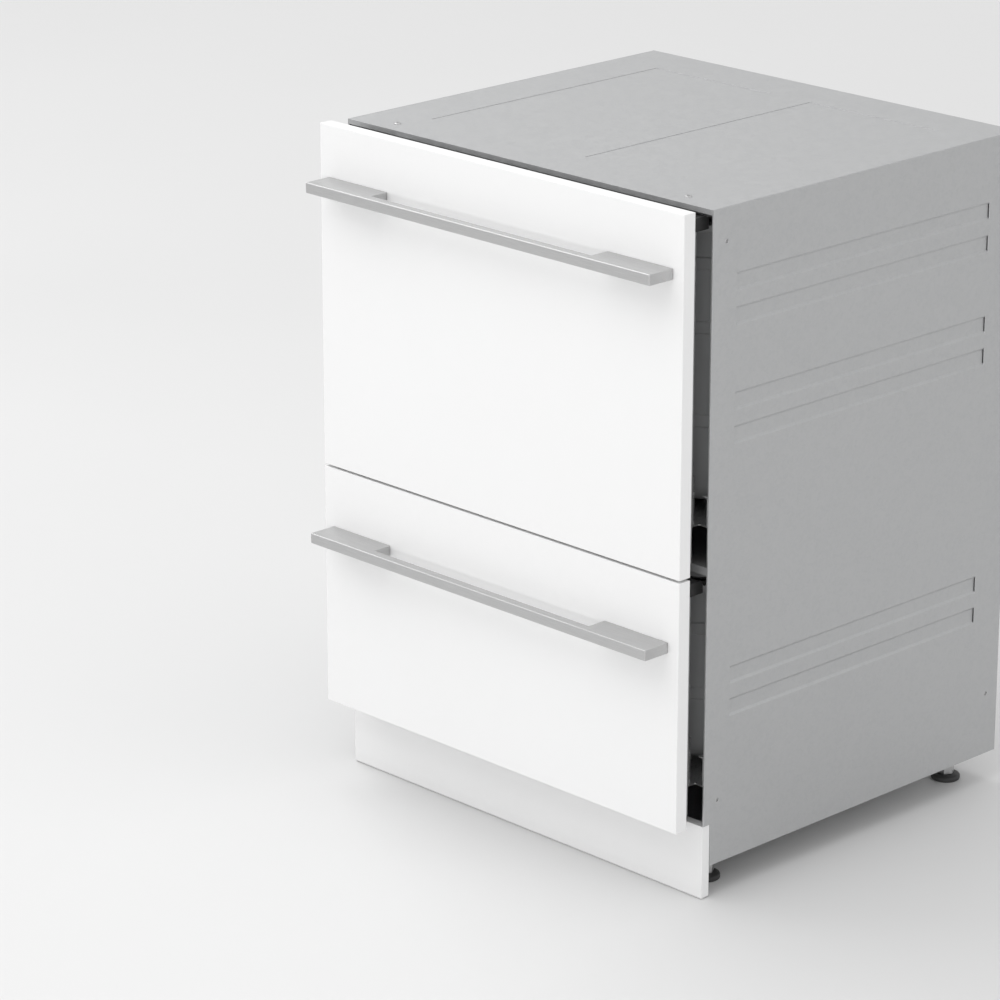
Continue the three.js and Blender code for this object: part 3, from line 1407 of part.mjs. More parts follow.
function lid(drawer) {
  const z0 = drawer.lidBottom;
  const z1 = drawer.lidTop;
  const halfWidth = lidHalfWidth();
  const halfDepth = lidHalfDepth();
  const corner = TUB_CORNER + RIM_WIDTH;
  let made = raised(roundedOutline(halfWidth, halfDepth, corner), z0, z1);
  // Pockets from above leave a skin with ribs.
  const { columns, rows, margin } = LID_POCKETS;
  const width = (2 * (halfWidth - margin) - (columns - 1) * LID_RIB) / columns;
  const depth = (2 * (halfDepth - margin) - (rows - 1) * LID_RIB) / rows;
  for (let i = 0; i < columns; i++) {
    for (let j = 0; j < rows; j++) {
      const x = -halfWidth + margin + i * (width + LID_RIB);
      const y = TUB_CENTRE_Y - halfDepth + margin + j * (depth + LID_RIB);
      made = made.subtract(box(x, x + width, y, y + depth, z0 + LID_SKIN, z1 + OVERCUT));
    }
  }
  const seal = sealOutline();
  const groove = outlineRing(
    seal.halfWidth + SEAT_GAP,
    seal.halfDepth + SEAT_GAP,
    seal.radius + SEAT_GAP,
    SEAL_WIDTH + 2 * SEAT_GAP,
    z0 - OVERCUT,
    z0 + SEAL_GROOVE,
  );
  made = made.subtract(groove);
  const pegZ = pegHeight(drawer);
  const slotHalf = PEG_RADIUS + PEG_PLAY;
  for (const side of [-1, 1]) {
    for (const offset of PEG_OFFSETS) {
      const y = TUB_CENTRE_Y + offset;
      const lugEnd = halfWidth + LUG_THICKNESS;
      const lug = sideBox(side, halfWidth - LUG_ROOT, lugEnd, y - LUG_WIDTH / 2, y + LUG_WIDTH / 2, z0, z1);
      const slot = sideBox(
        side,
        pegTip() - PEG_CLEAR,
        lugEnd + OVERCUT,
        y - slotHalf,
        y + slotHalf,
        pegZ - slotHalf,
        pegZ + slotHalf + LID_TRAVEL,
      );
      made = made.add(lug).subtract(slot);
    }
  }
  const rear = TUB_CENTRE_Y + halfDepth;
  return made.add(
    box(
      -ACTUATOR_LUG.width / 2,
      ACTUATOR_LUG.width / 2,
      rear - LUG_ROOT,
      rear + ACTUATOR_LUG.length,
      z0 + ACTUATOR_LUG.bottom,
      z0 + ACTUATOR_LUG.bottom + ACTUATOR_LUG.height,
    ),
  );
}

function lidSeal(drawer) {
  const { halfWidth, halfDepth, radius } = sealOutline();
  const z0 = drawer.lidBottom - SEAL_PROUD;
  const z1 = drawer.lidBottom + SEAL_GROOVE - SEAT_GAP;
  return outlineRing(halfWidth, halfDepth, radius, SEAL_WIDTH, z0, z1);
}

// A motor housing on the chassis back; the lid's rear lug rides in its slot.
function lidActuator(drawer) {
  const half = ACTUATOR.width / 2;
  const z0 = drawer.lidBottom - ACTUATOR.drop;
  const z1 = drawer.lidTop - ACTUATOR.rise;
  const lugBottom = drawer.lidBottom + ACTUATOR_LUG.bottom;
  const housing = box(-half, half, ACTUATOR_FRONT, BACK_INSIDE - SEAT_GAP, z0, z1);
  const slot = box(
    -ACTUATOR_LUG.width / 2 - PEG_PLAY,
    ACTUATOR_LUG.width / 2 + PEG_PLAY,
    ACTUATOR_FRONT - OVERCUT,
    TUB_CENTRE_Y + lidHalfDepth() + ACTUATOR_LUG.length + PEG_PLAY,
    lugBottom - LID_TRAVEL - PEG_PLAY,
    lugBottom + ACTUATOR_LUG.height + PEG_PLAY,
  );
  return housing.subtract(slot);
}

// ---------------------------------------------------------------- hoses and duct

function hoseHeight(drawer) {
  return drawer.floor + SPIGOT_Z;
}

function ductFront() {
  return BACK_INSIDE - SEAT_GAP - DUCT.depth;
}

// From the spigot on the tub's back across to the duct on the chassis.
function hose(drawer) {
  const z = hoseHeight(drawer);
  const start = spigotEnd() + SEAT_GAP;
  const end = ductFront() - SEAT_GAP;
  const runY = ductFront() - HOSE_RUN_GAP;
  const route = [
    [SPIGOT_X, start],
    [SPIGOT_X, start + 7],
    [SPIGOT_X + 9, runY - 12],
    [SPIGOT_X + 40, runY - 3],
    [SPIGOT_X + 130, runY - 4],
    [HOSE_END_X - 130, runY - 10],
    [HOSE_END_X - 44, runY - 12],
    [HOSE_END_X - 12, runY - 8],
    [HOSE_END_X, end - 7],
    [HOSE_END_X, end],
  ].map(([x, y]) => new THREE.Vector3(x, y, z));
  const path = new THREE.CatmullRomCurve3(route, false, "centripetal");
  const section = new THREE.Shape();
  section.absarc(0, 0, HOSE_RADIUS, 0, 2 * Math.PI);
  const geometry = new THREE.ExtrudeGeometry(section, {
    steps: HOSE_STEPS,
    curveSegments: 5,
    bevelEnabled: false,
    extrudePath: path,
  });
  return solid(geometry);
}

function serviceDuct() {
  const y1 = BACK_INSIDE - SEAT_GAP;
  const top = hoseHeight(DRAWERS[0]) + DUCT.aboveUpperHose;
  const z1 = OUTLET.bottom + OUTLET.height;
  let duct = join(
    box(HOSE_END_X - DUCT.halfWidth, HOSE_END_X + DUCT.halfWidth, ductFront(), y1, DUCT.bottom, top),
    box(
      HOSE_END_X - OUTLET.halfWidth,
      HOSE_END_X + OUTLET.halfWidth,
      CHASSIS_BACK - OUTLET.depth,
      CHASSIS_BACK,
      OUTLET.bottom,
      z1,
    ),
  );
  const middle = (OUTLET.bottom + z1) / 2;
  for (const { dx, radius } of OUTLET_HOLES) {
    const x = HOSE_END_X + dx;
    duct = duct.subtract(
      bar([x, CHASSIS_BACK - OUTLET_HOLE_DEPTH, middle], [x, CHASSIS_BACK + OVERCUT, middle], radius, 16),
    );
  }
  return duct;
}

// ---------------------------------------------------------------- assembly

function chassisGroup() {
  const group = new THREE.Group();
  group.add(...pair("chassis", chassisSide(), STEEL));
  group.add(piece("chassis_top", chassisTop(), STEEL));
  group.add(piece("chassis_back", chassisBack(), STEEL));
  group.add(piece("chassis_base", chassisBase(), STEEL));
  group.add(piece("chassis_cross_rail", crossRail(), STEEL));
  group.add(piece("toe_kick_panel", toeKick(), LACQUER));
  group.add(piece("service_duct", serviceDuct(), DARK_PLASTIC));
  for (const { name, x, y } of footPlaces()) {
    const foot = piece(name, levellingFoot(), DARK_PLASTIC);
    foot.position.set(x, y, 0);
    group.add(foot);
  }
  for (const drawer of DRAWERS) {
    const runners = pair(`${drawer.name}_fixed_runner`, fixedRunner(), RUNNER_STEEL);
    for (const runner of runners) runner.position.z = drawer.floor;
    group.add(...runners);
    group.add(piece(`${drawer.name}_lid`, lid(drawer), TUB_PLASTIC));
    group.add(piece(`${drawer.name}_lid_seal`, lidSeal(drawer), RUBBER));
    group.add(piece(`${drawer.name}_lid_actuator`, lidActuator(drawer), DARK_PLASTIC));
    group.add(piece(`${drawer.name}_hose`, hose(drawer), HOSE_PLASTIC));
  }
  return group;
}

function drawerGroup(drawer) {
  const group = new THREE.Group();
  group.position.z = drawer.floor;
  const add = (name, made, finish) => group.add(piece(`${drawer.name}_${name}`, made, finish));
  group.add(...pair(`${drawer.name}_middle_runner`, middleRunner(), RUNNER_STEEL));
  add("front_panel", frontPanel(drawer), LACQUER);
  add("handle", handle(drawer), BRUSHED);
  add("door_frame", doorFrame(drawer), STEEL);
  add("control_strip", controlStrip(drawer), DARK_PLASTIC);
  add("power_button", powerButton(drawer), GREY_PLASTIC);
  add("cradle", cradle(), RUNNER_STEEL);
  add("tub", tub(drawer), TUB_PLASTIC);
  add("wash_motor", washMotor(), DARK_PLASTIC);
  add("spray_arm", sprayArm(), GREY_PLASTIC);
  add("filter_plate", filterPlate(), STEEL);
  add("drain_filter", drainFilter(), GREY_PLASTIC);
  add("rack", rack(drawer), WIRE_COATING);
  add("fold_tines", foldTines(), WIRE_COATING);
  add("dispenser", dispenser(drawer), GREY_PLASTIC);
  add("dispenser_door", dispenserDoor(drawer), DARK_PLASTIC);
  if (drawer.cupRack) add("cup_rack", cupRack(drawer), WIRE_COATING);
  if (drawer.cutlery) add("cutlery_basket", cutleryBasket(), GREY_PLASTIC);
  return group;
}

const dishwasher = new THREE.Group();
dishwasher.add(chassisGroup(), ...DRAWERS.map(drawerGroup));
const handleFront = -SEAT_GAP - HANDLE_PROJECTION;
dishwasher.position.y = -(handleFront + CHASSIS_BACK) / 2;

export default dishwasher;
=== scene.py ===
"""A built-in dishwasher with two drawers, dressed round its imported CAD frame.

+Z is up from the floor, +Y into the cabinet, +X to the right of someone facing the panels. Shapes
are drawn in millimetres and become metres in Shape.make. Materials, lights and the camera are in
metres. CAD nodes whose shape is right keep their place and get softened edges and a finish.
Moulded, wound and wire parts are modelled here more finely and stand for their nodes.
"""

import math
from types import SimpleNamespace

import bmesh
import bpy
from mathutils import Matrix, Vector


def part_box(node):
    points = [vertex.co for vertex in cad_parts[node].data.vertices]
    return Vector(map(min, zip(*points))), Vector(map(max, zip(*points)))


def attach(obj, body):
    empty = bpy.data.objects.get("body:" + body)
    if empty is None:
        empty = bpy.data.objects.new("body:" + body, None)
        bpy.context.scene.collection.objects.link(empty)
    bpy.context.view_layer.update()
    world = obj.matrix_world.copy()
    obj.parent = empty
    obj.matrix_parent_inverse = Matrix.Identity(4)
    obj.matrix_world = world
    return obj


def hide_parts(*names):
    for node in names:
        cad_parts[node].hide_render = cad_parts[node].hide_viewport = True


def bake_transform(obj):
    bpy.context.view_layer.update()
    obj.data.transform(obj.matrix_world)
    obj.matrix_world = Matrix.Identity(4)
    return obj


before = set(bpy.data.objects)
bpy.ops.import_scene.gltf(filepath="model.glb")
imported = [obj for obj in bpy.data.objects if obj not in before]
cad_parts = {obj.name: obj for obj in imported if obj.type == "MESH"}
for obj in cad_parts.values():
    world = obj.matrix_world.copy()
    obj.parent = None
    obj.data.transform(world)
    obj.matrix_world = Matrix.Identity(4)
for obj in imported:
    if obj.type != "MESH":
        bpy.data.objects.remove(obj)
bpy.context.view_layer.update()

TAU = 2 * math.pi
UP = Vector((0, 0, 1))
METRE = 1000  # in the unit of the shapes

# ---- sizes shared by several parts, in millimetres

CENTRE_Y = 17.65  # the middle of both tubs, and the axis of their spray arms

UPPER = SimpleNamespace(name="upper", body="upper_drawer", lid_bottom=808.8, strip_top=818)
UPPER.floor, UPPER.rim = 460, 799  # where the tub's floor meets its sump, and its rim
UPPER.rack_rings, UPPER.tub_bands = (60, 120), (105, 215, 290)
LOWER = SimpleNamespace(name="lower", body="lower_drawer", lid_bottom=382, strip_top=388.5)
LOWER.floor, LOWER.rim = 143, 372.2
LOWER.rack_rings, LOWER.tub_bands = (78,), (90, 170)
DRAWERS = (UPPER, LOWER)

TUB_X, TUB_Y, TUB_CORNER = 264, 206, 46  # inside, half sizes
TUB_WALL = 3
FLOOR_FILLET = 22
SUMP = 66
FILTER_X = 37  # of the drain filter, from the tub's middle

SPIGOT_X = -190
HOSE_END_X = 190
HOSE_RISE = 42  # of the hose above the tub's floor

RACK_X, RACK_Y = 246, 188  # half sizes, to the middle of the wires
RACK_CORNER = 11
RACK_FEET = [(x, y) for x in (-215, 215) for y in (-160, 160)]
RACK_FLOOR = 47.6  # of the racks' wires above the tub's floor
ACROSS_WIRES, ALONG_WIRES = 45.7, 47.85  # the wires that run across lie under the others
WIRE_RADIUS = 1.6
TINE_RADIUS = 1.5
THICK_RADIUS = 1.9  # of the top rings and the pivots
COLUMNS = [-RACK_X + i * RACK_X / 4 for i in range(9)]
ROWS = [-RACK_Y + i * RACK_Y / 3 for i in range(7)]
TINES = [36 * i for i in range(-4, 5)]
INSIDE = 2.1  # upright wires stand this far inside the rings
FOLD_X, FOLD_Z = COLUMNS[3], 51.7  # the pivot of the folding tines
FOLD_HALF = TINES[-1] + 12  # half the pivot's length
CUP_PIVOT_X = -239

# ---- mesh helpers


def even_faces(piece):
    """Keeps large flat faces flat where they meet rounded edges."""
    even = piece.modifiers.new("Even faces", "WEIGHTED_NORMAL")
    even.mode = "FACE_AREA"
    even.weight = 100
    even.keep_sharp = True


def finish_mesh(name, mesh, material, body, angle=40, even=True):
    """Links a mesh as a piece that rides on a body, with smooth faces up to an angle."""
    mesh.shade_smooth()
    mesh.set_sharp_from_angle(angle=math.radians(angle))
    mesh.materials.append(material)
    piece = bpy.data.objects.new(name, mesh)
    bpy.context.scene.collection.objects.link(piece)
    if even:
        even_faces(piece)
    if body:
        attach(piece, body)
    return piece


def mend(mesh, weld=None):
    """Joins points closer than a distance, where one is given, and turns the faces outward."""
    made = bmesh.new()
    made.from_mesh(mesh)
    if weld:
        bmesh.ops.remove_doubles(made, verts=made.verts, dist=weld)
    bmesh.ops.recalc_face_normals(made, faces=made.faces)
    made.to_mesh(mesh)
    made.free()


def circle(radius, steps, x=0, y=0):
    """Places (x, y) evenly round a circle."""
    angles = [TAU * step / steps for step in range(steps)]
    return [(x + radius * math.cos(angle), y + radius * math.sin(angle)) for angle in angles]


def ribs(count, pitch, pairs):
    """Repeats the pairs of a profile, each time further along."""
    return [(radius, height + i * pitch) for i in range(count) for radius, height in pairs]


class Shape:
    """Points and faces gathered from several simple closed forms."""

    def __init__(self):
        self.points = []
        self.faces = []

    def add(self, points, faces):
        start = len(self.points)
        self.points += points
        self.faces += [[start + index for index in face] for face in faces]
        return self

    def skin(self, rings, looped=False):
        """Joins rings of equally many points, and closes the ends or joins last to first."""
        count = len(rings[0])
        points = [Vector(point) for ring in rings for point in ring]
        faces = []
        for ring in range(len(rings) if looped else len(rings) - 1):
            first, after = ring * count, (ring + 1) % len(rings) * count
            for i in range(count):
                j = (i + 1) % count
                faces.append([first + i, first + j, after + j, after + i])
        if not looped:
            faces.append(list(reversed(range(count))))
            faces.append([(len(rings) - 1) * count + i for i in range(count)])
        return self.add(points, faces)

    def tube(self, path, radius, sides=8, looped=False):
        """A round tube along a path. Each end is rounded off by a smaller ring."""
        path = [Vector(point) for point in path]
        radii = [radius] * len(path)
        if not looped:
            for end, inner in ((0, 1), (-1, -2)):
                tip = path[end].copy()
                path[end] = tip - (tip - path[inner]).normalized() * radius * 0.35
                place = 0 if end == 0 else len(path)
                path.insert(place, tip)
                radii.insert(place, radius * 0.6)
        return self.skin(tube_rings(path, radii, sides, looped), looped)

    def lathe(self, profile, centre, steps, axis="Z", looped=False):
        """A profile of (radius, height) turned about an axis through a point."""
        centre = Vector(centre)
        rings = []
        for radius, height in profile:
            ring = []
            for a, b in circle(radius, steps):
                offset = {"Z": (a, b, height), "Y": (b, height, a), "X": (height, a, b)}[axis]
                ring.append(centre + Vector(offset))
            rings.append(ring)
        return self.skin(rings, looped)

    def block(self, low, high, radius=0.0, segments=2):
        """A box between two corners, with its edges rounded."""
        low, high = Vector(low), Vector(high)
        made = bmesh.new()
        bmesh.ops.create_cube(made, size=1)
        for vertex in made.verts:
            vertex.co = vertex.co * (high - low) + (low + high) / 2
        if radius:
            edges = made.edges[:]
            bmesh.ops.bevel(
                made, geom=edges, offset=radius, segments=segments, affect="EDGES", profile=0.5
            )
        made.verts.index_update()
        points = [vertex.co.copy() for vertex in made.verts]
        faces = [[vertex.index for vertex in face.verts] for face in made.faces]
        made.free()
        return self.add(points, faces)

    def pad(self, centre, half_x, half_y, low, high, radius=0.0, segments=2):
        """A block round a point, from its half width and depth and its two heights."""
        near, far = Vector((-half_x, -half_y, low)), Vector((half_x, half_y, high))
        return self.block(Vector(centre) + near, Vector(centre) + far, radius, segments)

    def placed(self, form, centre, turn):
        """Adds another shape, turned and then moved to a point."""
        move = Matrix.Translation(centre) @ turn
        return self.add([move @ point for point in form.points], form.faces)

    def around(self, form, count, centre, axis="Z", phase=0.0):
        """Adds copies of another shape, evenly round an axis through a point."""
        for i in range(count):
            self.placed(form, centre, Matrix.Rotation(TAU * (i + phase) / count, 4, axis))
        return self

    def wire(self, drawer, spots, radius=WIRE_RADIUS, bend=None, steps=4, sides=8):
        """A wire through spots measured from the middle of a drawer's tub, its corners bent."""
        path = [at(drawer, *spot) for spot in spots]
        return self.tube(bent(path, bend, steps) if bend else path, radius, sides)

    def make(self, name, material, body, slot=None, angle=40, even=True):
        """Turns the shape into a piece, in metres."""
        mesh = bpy.data.meshes.new(name)
        mesh.from_pydata([point / METRE for point in self.points], [], self.faces)
        mend(mesh)
        return finish_mesh(name, mesh, material, body, angle, even)


def tube_rings(path, radii, sides, looped=False):
    """Rings of points round a path, without twist between one ring and the next."""
    count = len(path)
    tangents = []
    for i in range(count):
        before = path[i - 1] if looped or i else path[i]
        after = path[(i + 1) % count] if looped or i + 1 < count else path[i]
        tangents.append((after - before).normalized())
    side = tangents[0].orthogonal().normalized()
    rings = []
    for point, tangent, radius in zip(path, tangents, radii):
        side = (side - tangent * side.dot(tangent)).normalized()
        other = tangent.cross(side)
        rings.append([point + (side * a + other * b) * radius for a, b in circle(1, sides)])
    return rings


def rounded_loop(centre, half_x, half_y, radius, corner=10, along=(14, 12)):
    """A rounded rectangle round a point, anticlockwise from above, its sides divided."""
    arcs = []
    for quarter, (sx, sy) in enumerate(((1, 1), (-1, 1), (-1, -1), (1, -1))):
        arc = []
        for step in range(corner + 1):
            angle = (quarter + step / corner) * math.pi / 2
            x = sx * (half_x - radius) + radius * math.cos(angle)
            y = sy * (half_y - radius) + radius * math.sin(angle)
            arc.append(centre + Vector((x, y, 0)))
        arcs.append(arc)
    points = []
    for quarter, arc in enumerate(arcs):
        points += arc
        following, parts = arcs[(quarter + 1) % 4][0], along[quarter % 2]
        points += [arc[-1].lerp(following, part / parts) for part in range(1, parts)]
    return points


def bent(corners, radius, steps):
    """A path through corners, each of them rounded."""
    path = [corners[0]]
    for before, corner, after in zip(corners, corners[1:], corners[2:]):
        back, onward = (before - corner).normalized(), (after - corner).normalized()
        half = back.angle(onward) / 2
        centre = corner + (back + onward).normalized() * radius / math.sin(half)
        start = corner + back * radius / math.tan(half) - centre
        end = corner + onward * radius / math.tan(half) - centre
        turn = math.pi - 2 * half
        for step in range(steps + 1):
            share = step / steps * turn
            offset = start * math.sin(turn - share) + end * math.sin(share)
            path.append(centre + offset / math.sin(turn))
    path.append(corners[-1])
    return path


def smooth_path(points, pitch):
    """A centripetal Catmull-Rom curve through points, divided evenly."""
    points = [Vector(point) for point in points]
    points = [points[0] * 2 - points[1], *points, points[-1] * 2 - points[-2]]
    parts = 40  # from one point to the next, before the even division
    fine = []
    for a, b, c, d in zip(points, points[1:], points[2:], points[3:]):
        t1 = (b - a).length ** 0.5
        t2 = t1 + (c - b).length ** 0.5
        t3 = t2 + (d - c).length ** 0.5
        for step in range(parts):
            t = t1 + (t2 - t1) * step / parts
            ab = a.lerp(b, t / t1)
            bc = b.lerp(c, (t - t1) / (t2 - t1))
            cd = c.lerp(d, (t - t2) / (t3 - t2))
            abc = ab.lerp(bc, t / t2)
            bcd = bc.lerp(cd, (t - t1) / (t3 - t1))
            fine.append(abc.lerp(bcd, (t - t1) / (t2 - t1)))
    fine.append(points[-2])
    reach = [0.0]
    for before, after in zip(fine, fine[1:]):
        reach.append(reach[-1] + (after - before).length)
    count = round(reach[-1] / pitch)
    path, place = [], 0
    for step in range(count + 1):
        wanted = reach[-1] * step / count
        while place < len(fine) - 2 and reach[place + 1] < wanted:
            place += 1
        share = (wanted - reach[place]) / (reach[place + 1] - reach[place])
        path.append(fine[place].lerp(fine[place + 1], share))
    return path


BEVEL_ANGLE, SHARP_ANGLE = math.radians(32), math.radians(35)


def dress(node, material, edge, segments=2, clamp=True):
    """Gives a CAD node its finish and soft edges, and leaves its mesh as it is."""
    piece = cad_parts[node]
    weld = piece.modifiers.new("Weld", "WELD")
    weld.merge_threshold = 1e-6
    bevel = piece.modifiers.new("Bevel", "BEVEL")
    bevel.width = edge / METRE
    bevel.segments = segments
    bevel.limit_method = "ANGLE"
    bevel.angle_limit = BEVEL_ANGLE
    bevel.use_clamp_overlap = clamp
    even_faces(piece)
    piece.data.shade_smooth()
    piece.data.set_sharp_from_angle(angle=SHARP_ANGLE)
    piece.data.materials.clear()
    piece.data.materials.append(material)


# ---- material helpers


class Finish:
    """A procedural material: a principled shader, and patterns in the object's own space."""

    def __init__(self, name, settings):
        self.material = bpy.data.materials.new(name)
        self.material.use_nodes = True
        self.tree = self.material.node_tree
        self.shader = self.tree.nodes["Principled BSDF"]
        for key, value in settings.items():
            self.shader.inputs[key].default_value = value
        self.place = self.tree.nodes.new("ShaderNodeTexCoord").outputs["Object"]
        self.relief = None

    def node(self, kind, inputs, **choices):
        """Adds a node. Each of its inputs is set to a value or linked to an output."""
        node = self.tree.nodes.new("ShaderNode" + kind)
        for key, value in choices.items():
            setattr(node, key, value)
        for key, value in inputs.items():
            if isinstance(value, bpy.types.NodeSocket):
                self.tree.links.new(value, node.inputs[key])
            else:
                node.inputs[key].default_value = value
        return node

    def noise(self, scale, detail, stretch=None, distortion=0.0):
        place = self.place
        if stretch:
            place = self.node("Mapping", {"Scale": stretch, "Vector": place}).outputs["Vector"]
        inputs = {"Scale": scale, "Detail": detail, "Distortion": distortion, "Vector": place}
        return self.node("TexNoise", inputs).outputs["Fac"]

    def cells(self, scale):
        return self.node("TexVoronoi", {"Scale": scale, "Vector": self.place}).outputs["Color"]

    def spread(self, source, low, high, start=0.3, end=0.7):
        """Maps a pattern onto a range of values."""
        inputs = {"From Min": start, "From Max": end, "To Min": low, "To Max": high}
        return self.node("MapRange", {**inputs, "Value": source}).outputs["Result"]

    def blend(self, share, first, second):
        """Mixes two colours by a pattern."""
        inputs = {"Factor": share, 6: first, 7: second}  # 6 and 7 are the colour sockets
        return self.node("Mix", inputs, data_type="RGBA").outputs[2]

    def colour(self, source):
        self.tree.links.new(source, self.shader.inputs["Base Color"])

    def roughness(self, source):
        self.tree.links.new(source, self.shader.inputs["Roughness"])

    def bump(self, source, distance, strength):
        """Adds relief, on top of any that is there already."""
        inputs = {"Distance": distance, "Strength": strength, "Height": source}
        if self.relief:
            inputs["Normal"] = self.relief
        self.relief = self.node("Bump", inputs).outputs["Normal"]
        self.tree.links.new(self.relief, self.shader.inputs["Normal"])

    def gloss(self, scale, detail, low, high):
        """Spreads the roughness between two values by a noise."""
        self.roughness(self.spread(self.noise(scale, detail), low, high))

    def bumps(self, *rows):
        """Relief from noises, each of them (scale, detail, distance, strength)."""
        for scale, detail, distance, strength in rows:
            self.bump(self.noise(scale, detail), distance, strength)


def grey(value, warmth=0.0):
    """A neutral colour, a little warmer or cooler."""
    return (value * (1 + warmth), value, value * (1 - warmth), 1)


def panel_lacquer():
    """Sprayed satin lacquer: a faint orange peel, and a sheen that varies a little."""
    tone, settings = 0.83, {"Roughness": 0.42, "Coat Weight": 0.12, "Coat Roughness": 0.22}
    made = Finish("white_lacquer", settings)
    made.colour(made.blend(made.noise(3.5, 3), grey(tone * 0.985, 0.002), grey(tone, -0.002)))
    made.gloss(14, 4, 0.38, 0.47)
    made.bumps((420, 2, 0.00004, 0.5), (2600, 1, 0.000008, 0.4))
    return made.material


def toe_kick_laminate():
    """The panels' lacquer on a plinth, darker and blotchy at the floor, fading out 35 mm above it.
    """
    made = Finish("toe_kick_laminate", {"Roughness": 0.5})
    blotches = made.noise(90, 4)
    height = made.node("SeparateXYZ", {"Vector": made.place}).outputs["Z"]
    # A band darker and blotchier at the floor, fading to the plain tone 35 mm above it
    low = made.spread(height, 0.0, 1.0, 0.0, 0.035)
    above_band = made.blend(made.noise(5, 3), grey(0.80), grey(0.82))
    floor_band = made.blend(made.spread(blotches, 0, 1), grey(0.79), grey(0.77))
    made.colour(made.blend(low, floor_band, above_band))
    made.roughness(made.spread(blotches, 0.47, 0.53))
    made.bumps((420, 2, 0.00004, 0.5))
    return made.material


def brushed(name, tone, roughness, scale, along=(1, 90, 90), depth=0.00002, contrast=0.05):
    """Metal with a grain drawn along one axis."""
    made = Finish(name, {"Roughness": roughness, "Metallic": 1.0})
    grain = made.noise(scale, 5, along)
    broad = made.noise(6, 3, (1, 6, 6))
    fine = made.noise(scale * 4, 3, along)
    lows = grey(tone * (1 - contrast), -0.004), grey(tone * (1.02 - contrast), 0.002)
    highs = grey(tone, -0.002), grey(tone * (1 + contrast / 2), 0.002)
    dark, light = made.blend(broad, *lows), made.blend(broad, *highs)
    made.colour(made.blend(made.spread(grain, 0, 1), dark, light))
    made.roughness(made.spread(fine, roughness - 0.06, roughness + 0.08))
    made.bump(grain, depth, 0.6)
    made.bump(fine, depth * 0.5, 0.5)
    return made.material


def zinc_sheet():
    """Galvanised steel: soft-edged spangles, each with its own tone and sheen."""
    tone = 0.50
    made = Finish("galvanised_sheet", {"Roughness": 0.5, "Metallic": 0.7})
    spangle, small = made.cells(190), made.cells(520)
    share = made.spread(spangle, 0, 1, 0.2, 0.8)
    tones = made.blend(share, grey(tone * 0.94, -0.01), grey(tone, -0.006))
    share = made.spread(small, 0, 0.35, 0.2, 0.8)
    made.colour(made.blend(share, tones, grey(tone * 1.04, -0.012)))
    made.roughness(made.spread(spangle, 0.46, 0.56, 0.1, 0.9))
    made.bumps((9, 2, 0.0003, 0.15), (900, 2, 0.00001, 0.5))
    return made.material


def moulded(name, tone, roughness, warmth=0.0, grain=0.00003):
    """Moulded plastic with a fine spark-eroded grain and faint flow marks."""
    made = Finish(name, {"Roughness": roughness, "Specular IOR Level": 0.45})
    flow = made.noise(9, 4, (1, 1, 0.4), 0.8)
    made.colour(made.blend(flow, grey(tone * 0.95, warmth), grey(tone * 1.04, warmth)))
    made.gloss(55, 4, roughness - 0.05, roughness + 0.07)
    made.bumps((1500, 2, grain, 0.6), (22, 1, 0.0001, 0.08))
    return made.material


def coated_wire_finish():
    """Dipped nylon on wire: glossy, with slow runs and tiny pits."""
    settings = {"Roughness": 0.32, "Coat Weight": 0.25, "Coat Roughness": 0.15}
    made = Finish("nylon_wire", settings)
    made.colour(made.blend(made.noise(40, 4), grey(0.30, -0.02), grey(0.36, -0.02)))
    made.gloss(120, 3, 0.26, 0.42)
    made.bumps((220, 3, 0.00012, 0.35), (2200, 1, 0.00001, 0.5))
    return made.material


def rubber_finish():
    """Soft, nearly matt rubber."""
    made = Finish("seal_rubber", {"Roughness": 0.72, "Sheen Weight": 0.15})
    made.colour(made.blend(made.noise(70, 4), grey(0.075), grey(0.11)))
    made.gloss(200, 3, 0.62, 0.82)
    made.bumps((1200, 3, 0.00004, 0.6))
    return made.material


def lens_finish(name, tint, glow):
    """A small tinted lens over a lamp."""
    glowing = {"Emission Color": (*tint, 1), "Emission Strength": glow}
    made = Finish(name, {"Roughness": 0.18, "Coat Weight": 0.6, **glowing})
    bright = [min(1.0, value * 1.15) for value in tint]
    made.colour(made.blend(made.noise(300, 2), (*tint, 1), (*bright, 1)))
    made.bumps((2500, 1, 0.00001, 0.4))
    return made.material


def floor_finish():
    """A pale, nearly matt studio floor that lightens into the background."""
    made = Finish("pale_floor", {"Roughness": 0.62, "Specular IOR Level": 0.3})
    near = made.blend(made.noise(1.2, 3), grey(0.705), grey(0.725))
    reach = made.node("VectorMath", {0: made.place}, operation="LENGTH").outputs["Value"]
    made.colour(made.blend(made.spread(reach, 0.0, 1.0, 2.4, 7.0), near, grey(0.96)))
    made.gloss(4, 4, 0.55, 0.7)
    made.bumps((60, 3, 0.0001, 0.1))
    return made.material


PANEL = panel_lacquer()
KICK = toe_kick_laminate()
SEAL = moulded("seal_vinyl", 0.62, 0.5)
HANDLE = brushed("brushed_aluminium", 0.565, 0.46, 40, contrast=0.16)
SHEET = zinc_sheet()
STAINLESS = brushed("brushed_stainless", 0.60, 0.3, 30)
RUNNER = brushed("zinc_runner", 0.64, 0.3, 30, along=(30, 1, 30), depth=0.000004)
BOLT = brushed("zinc_bolt", 0.55, 0.32, 400, along=(1, 1, 1))
FOOT = moulded("foot_plastic", 0.035, 0.5)
DARK = moulded("dark_plastic", 0.045, 0.46)
CONTROL = moulded("control_plastic", 0.055, 0.36)
KEY = moulded("key_plastic", 0.12, 0.42)
GREY = moulded("grey_plastic", 0.22, 0.42, -0.01)
PALE = moulded("pale_plastic", 0.42, 0.4, -0.01)
TUB = moulded("tub_plastic", 0.58, 0.34, -0.012, grain=0.00002)
LID = moulded("lid_plastic", 0.52, 0.4, -0.01)
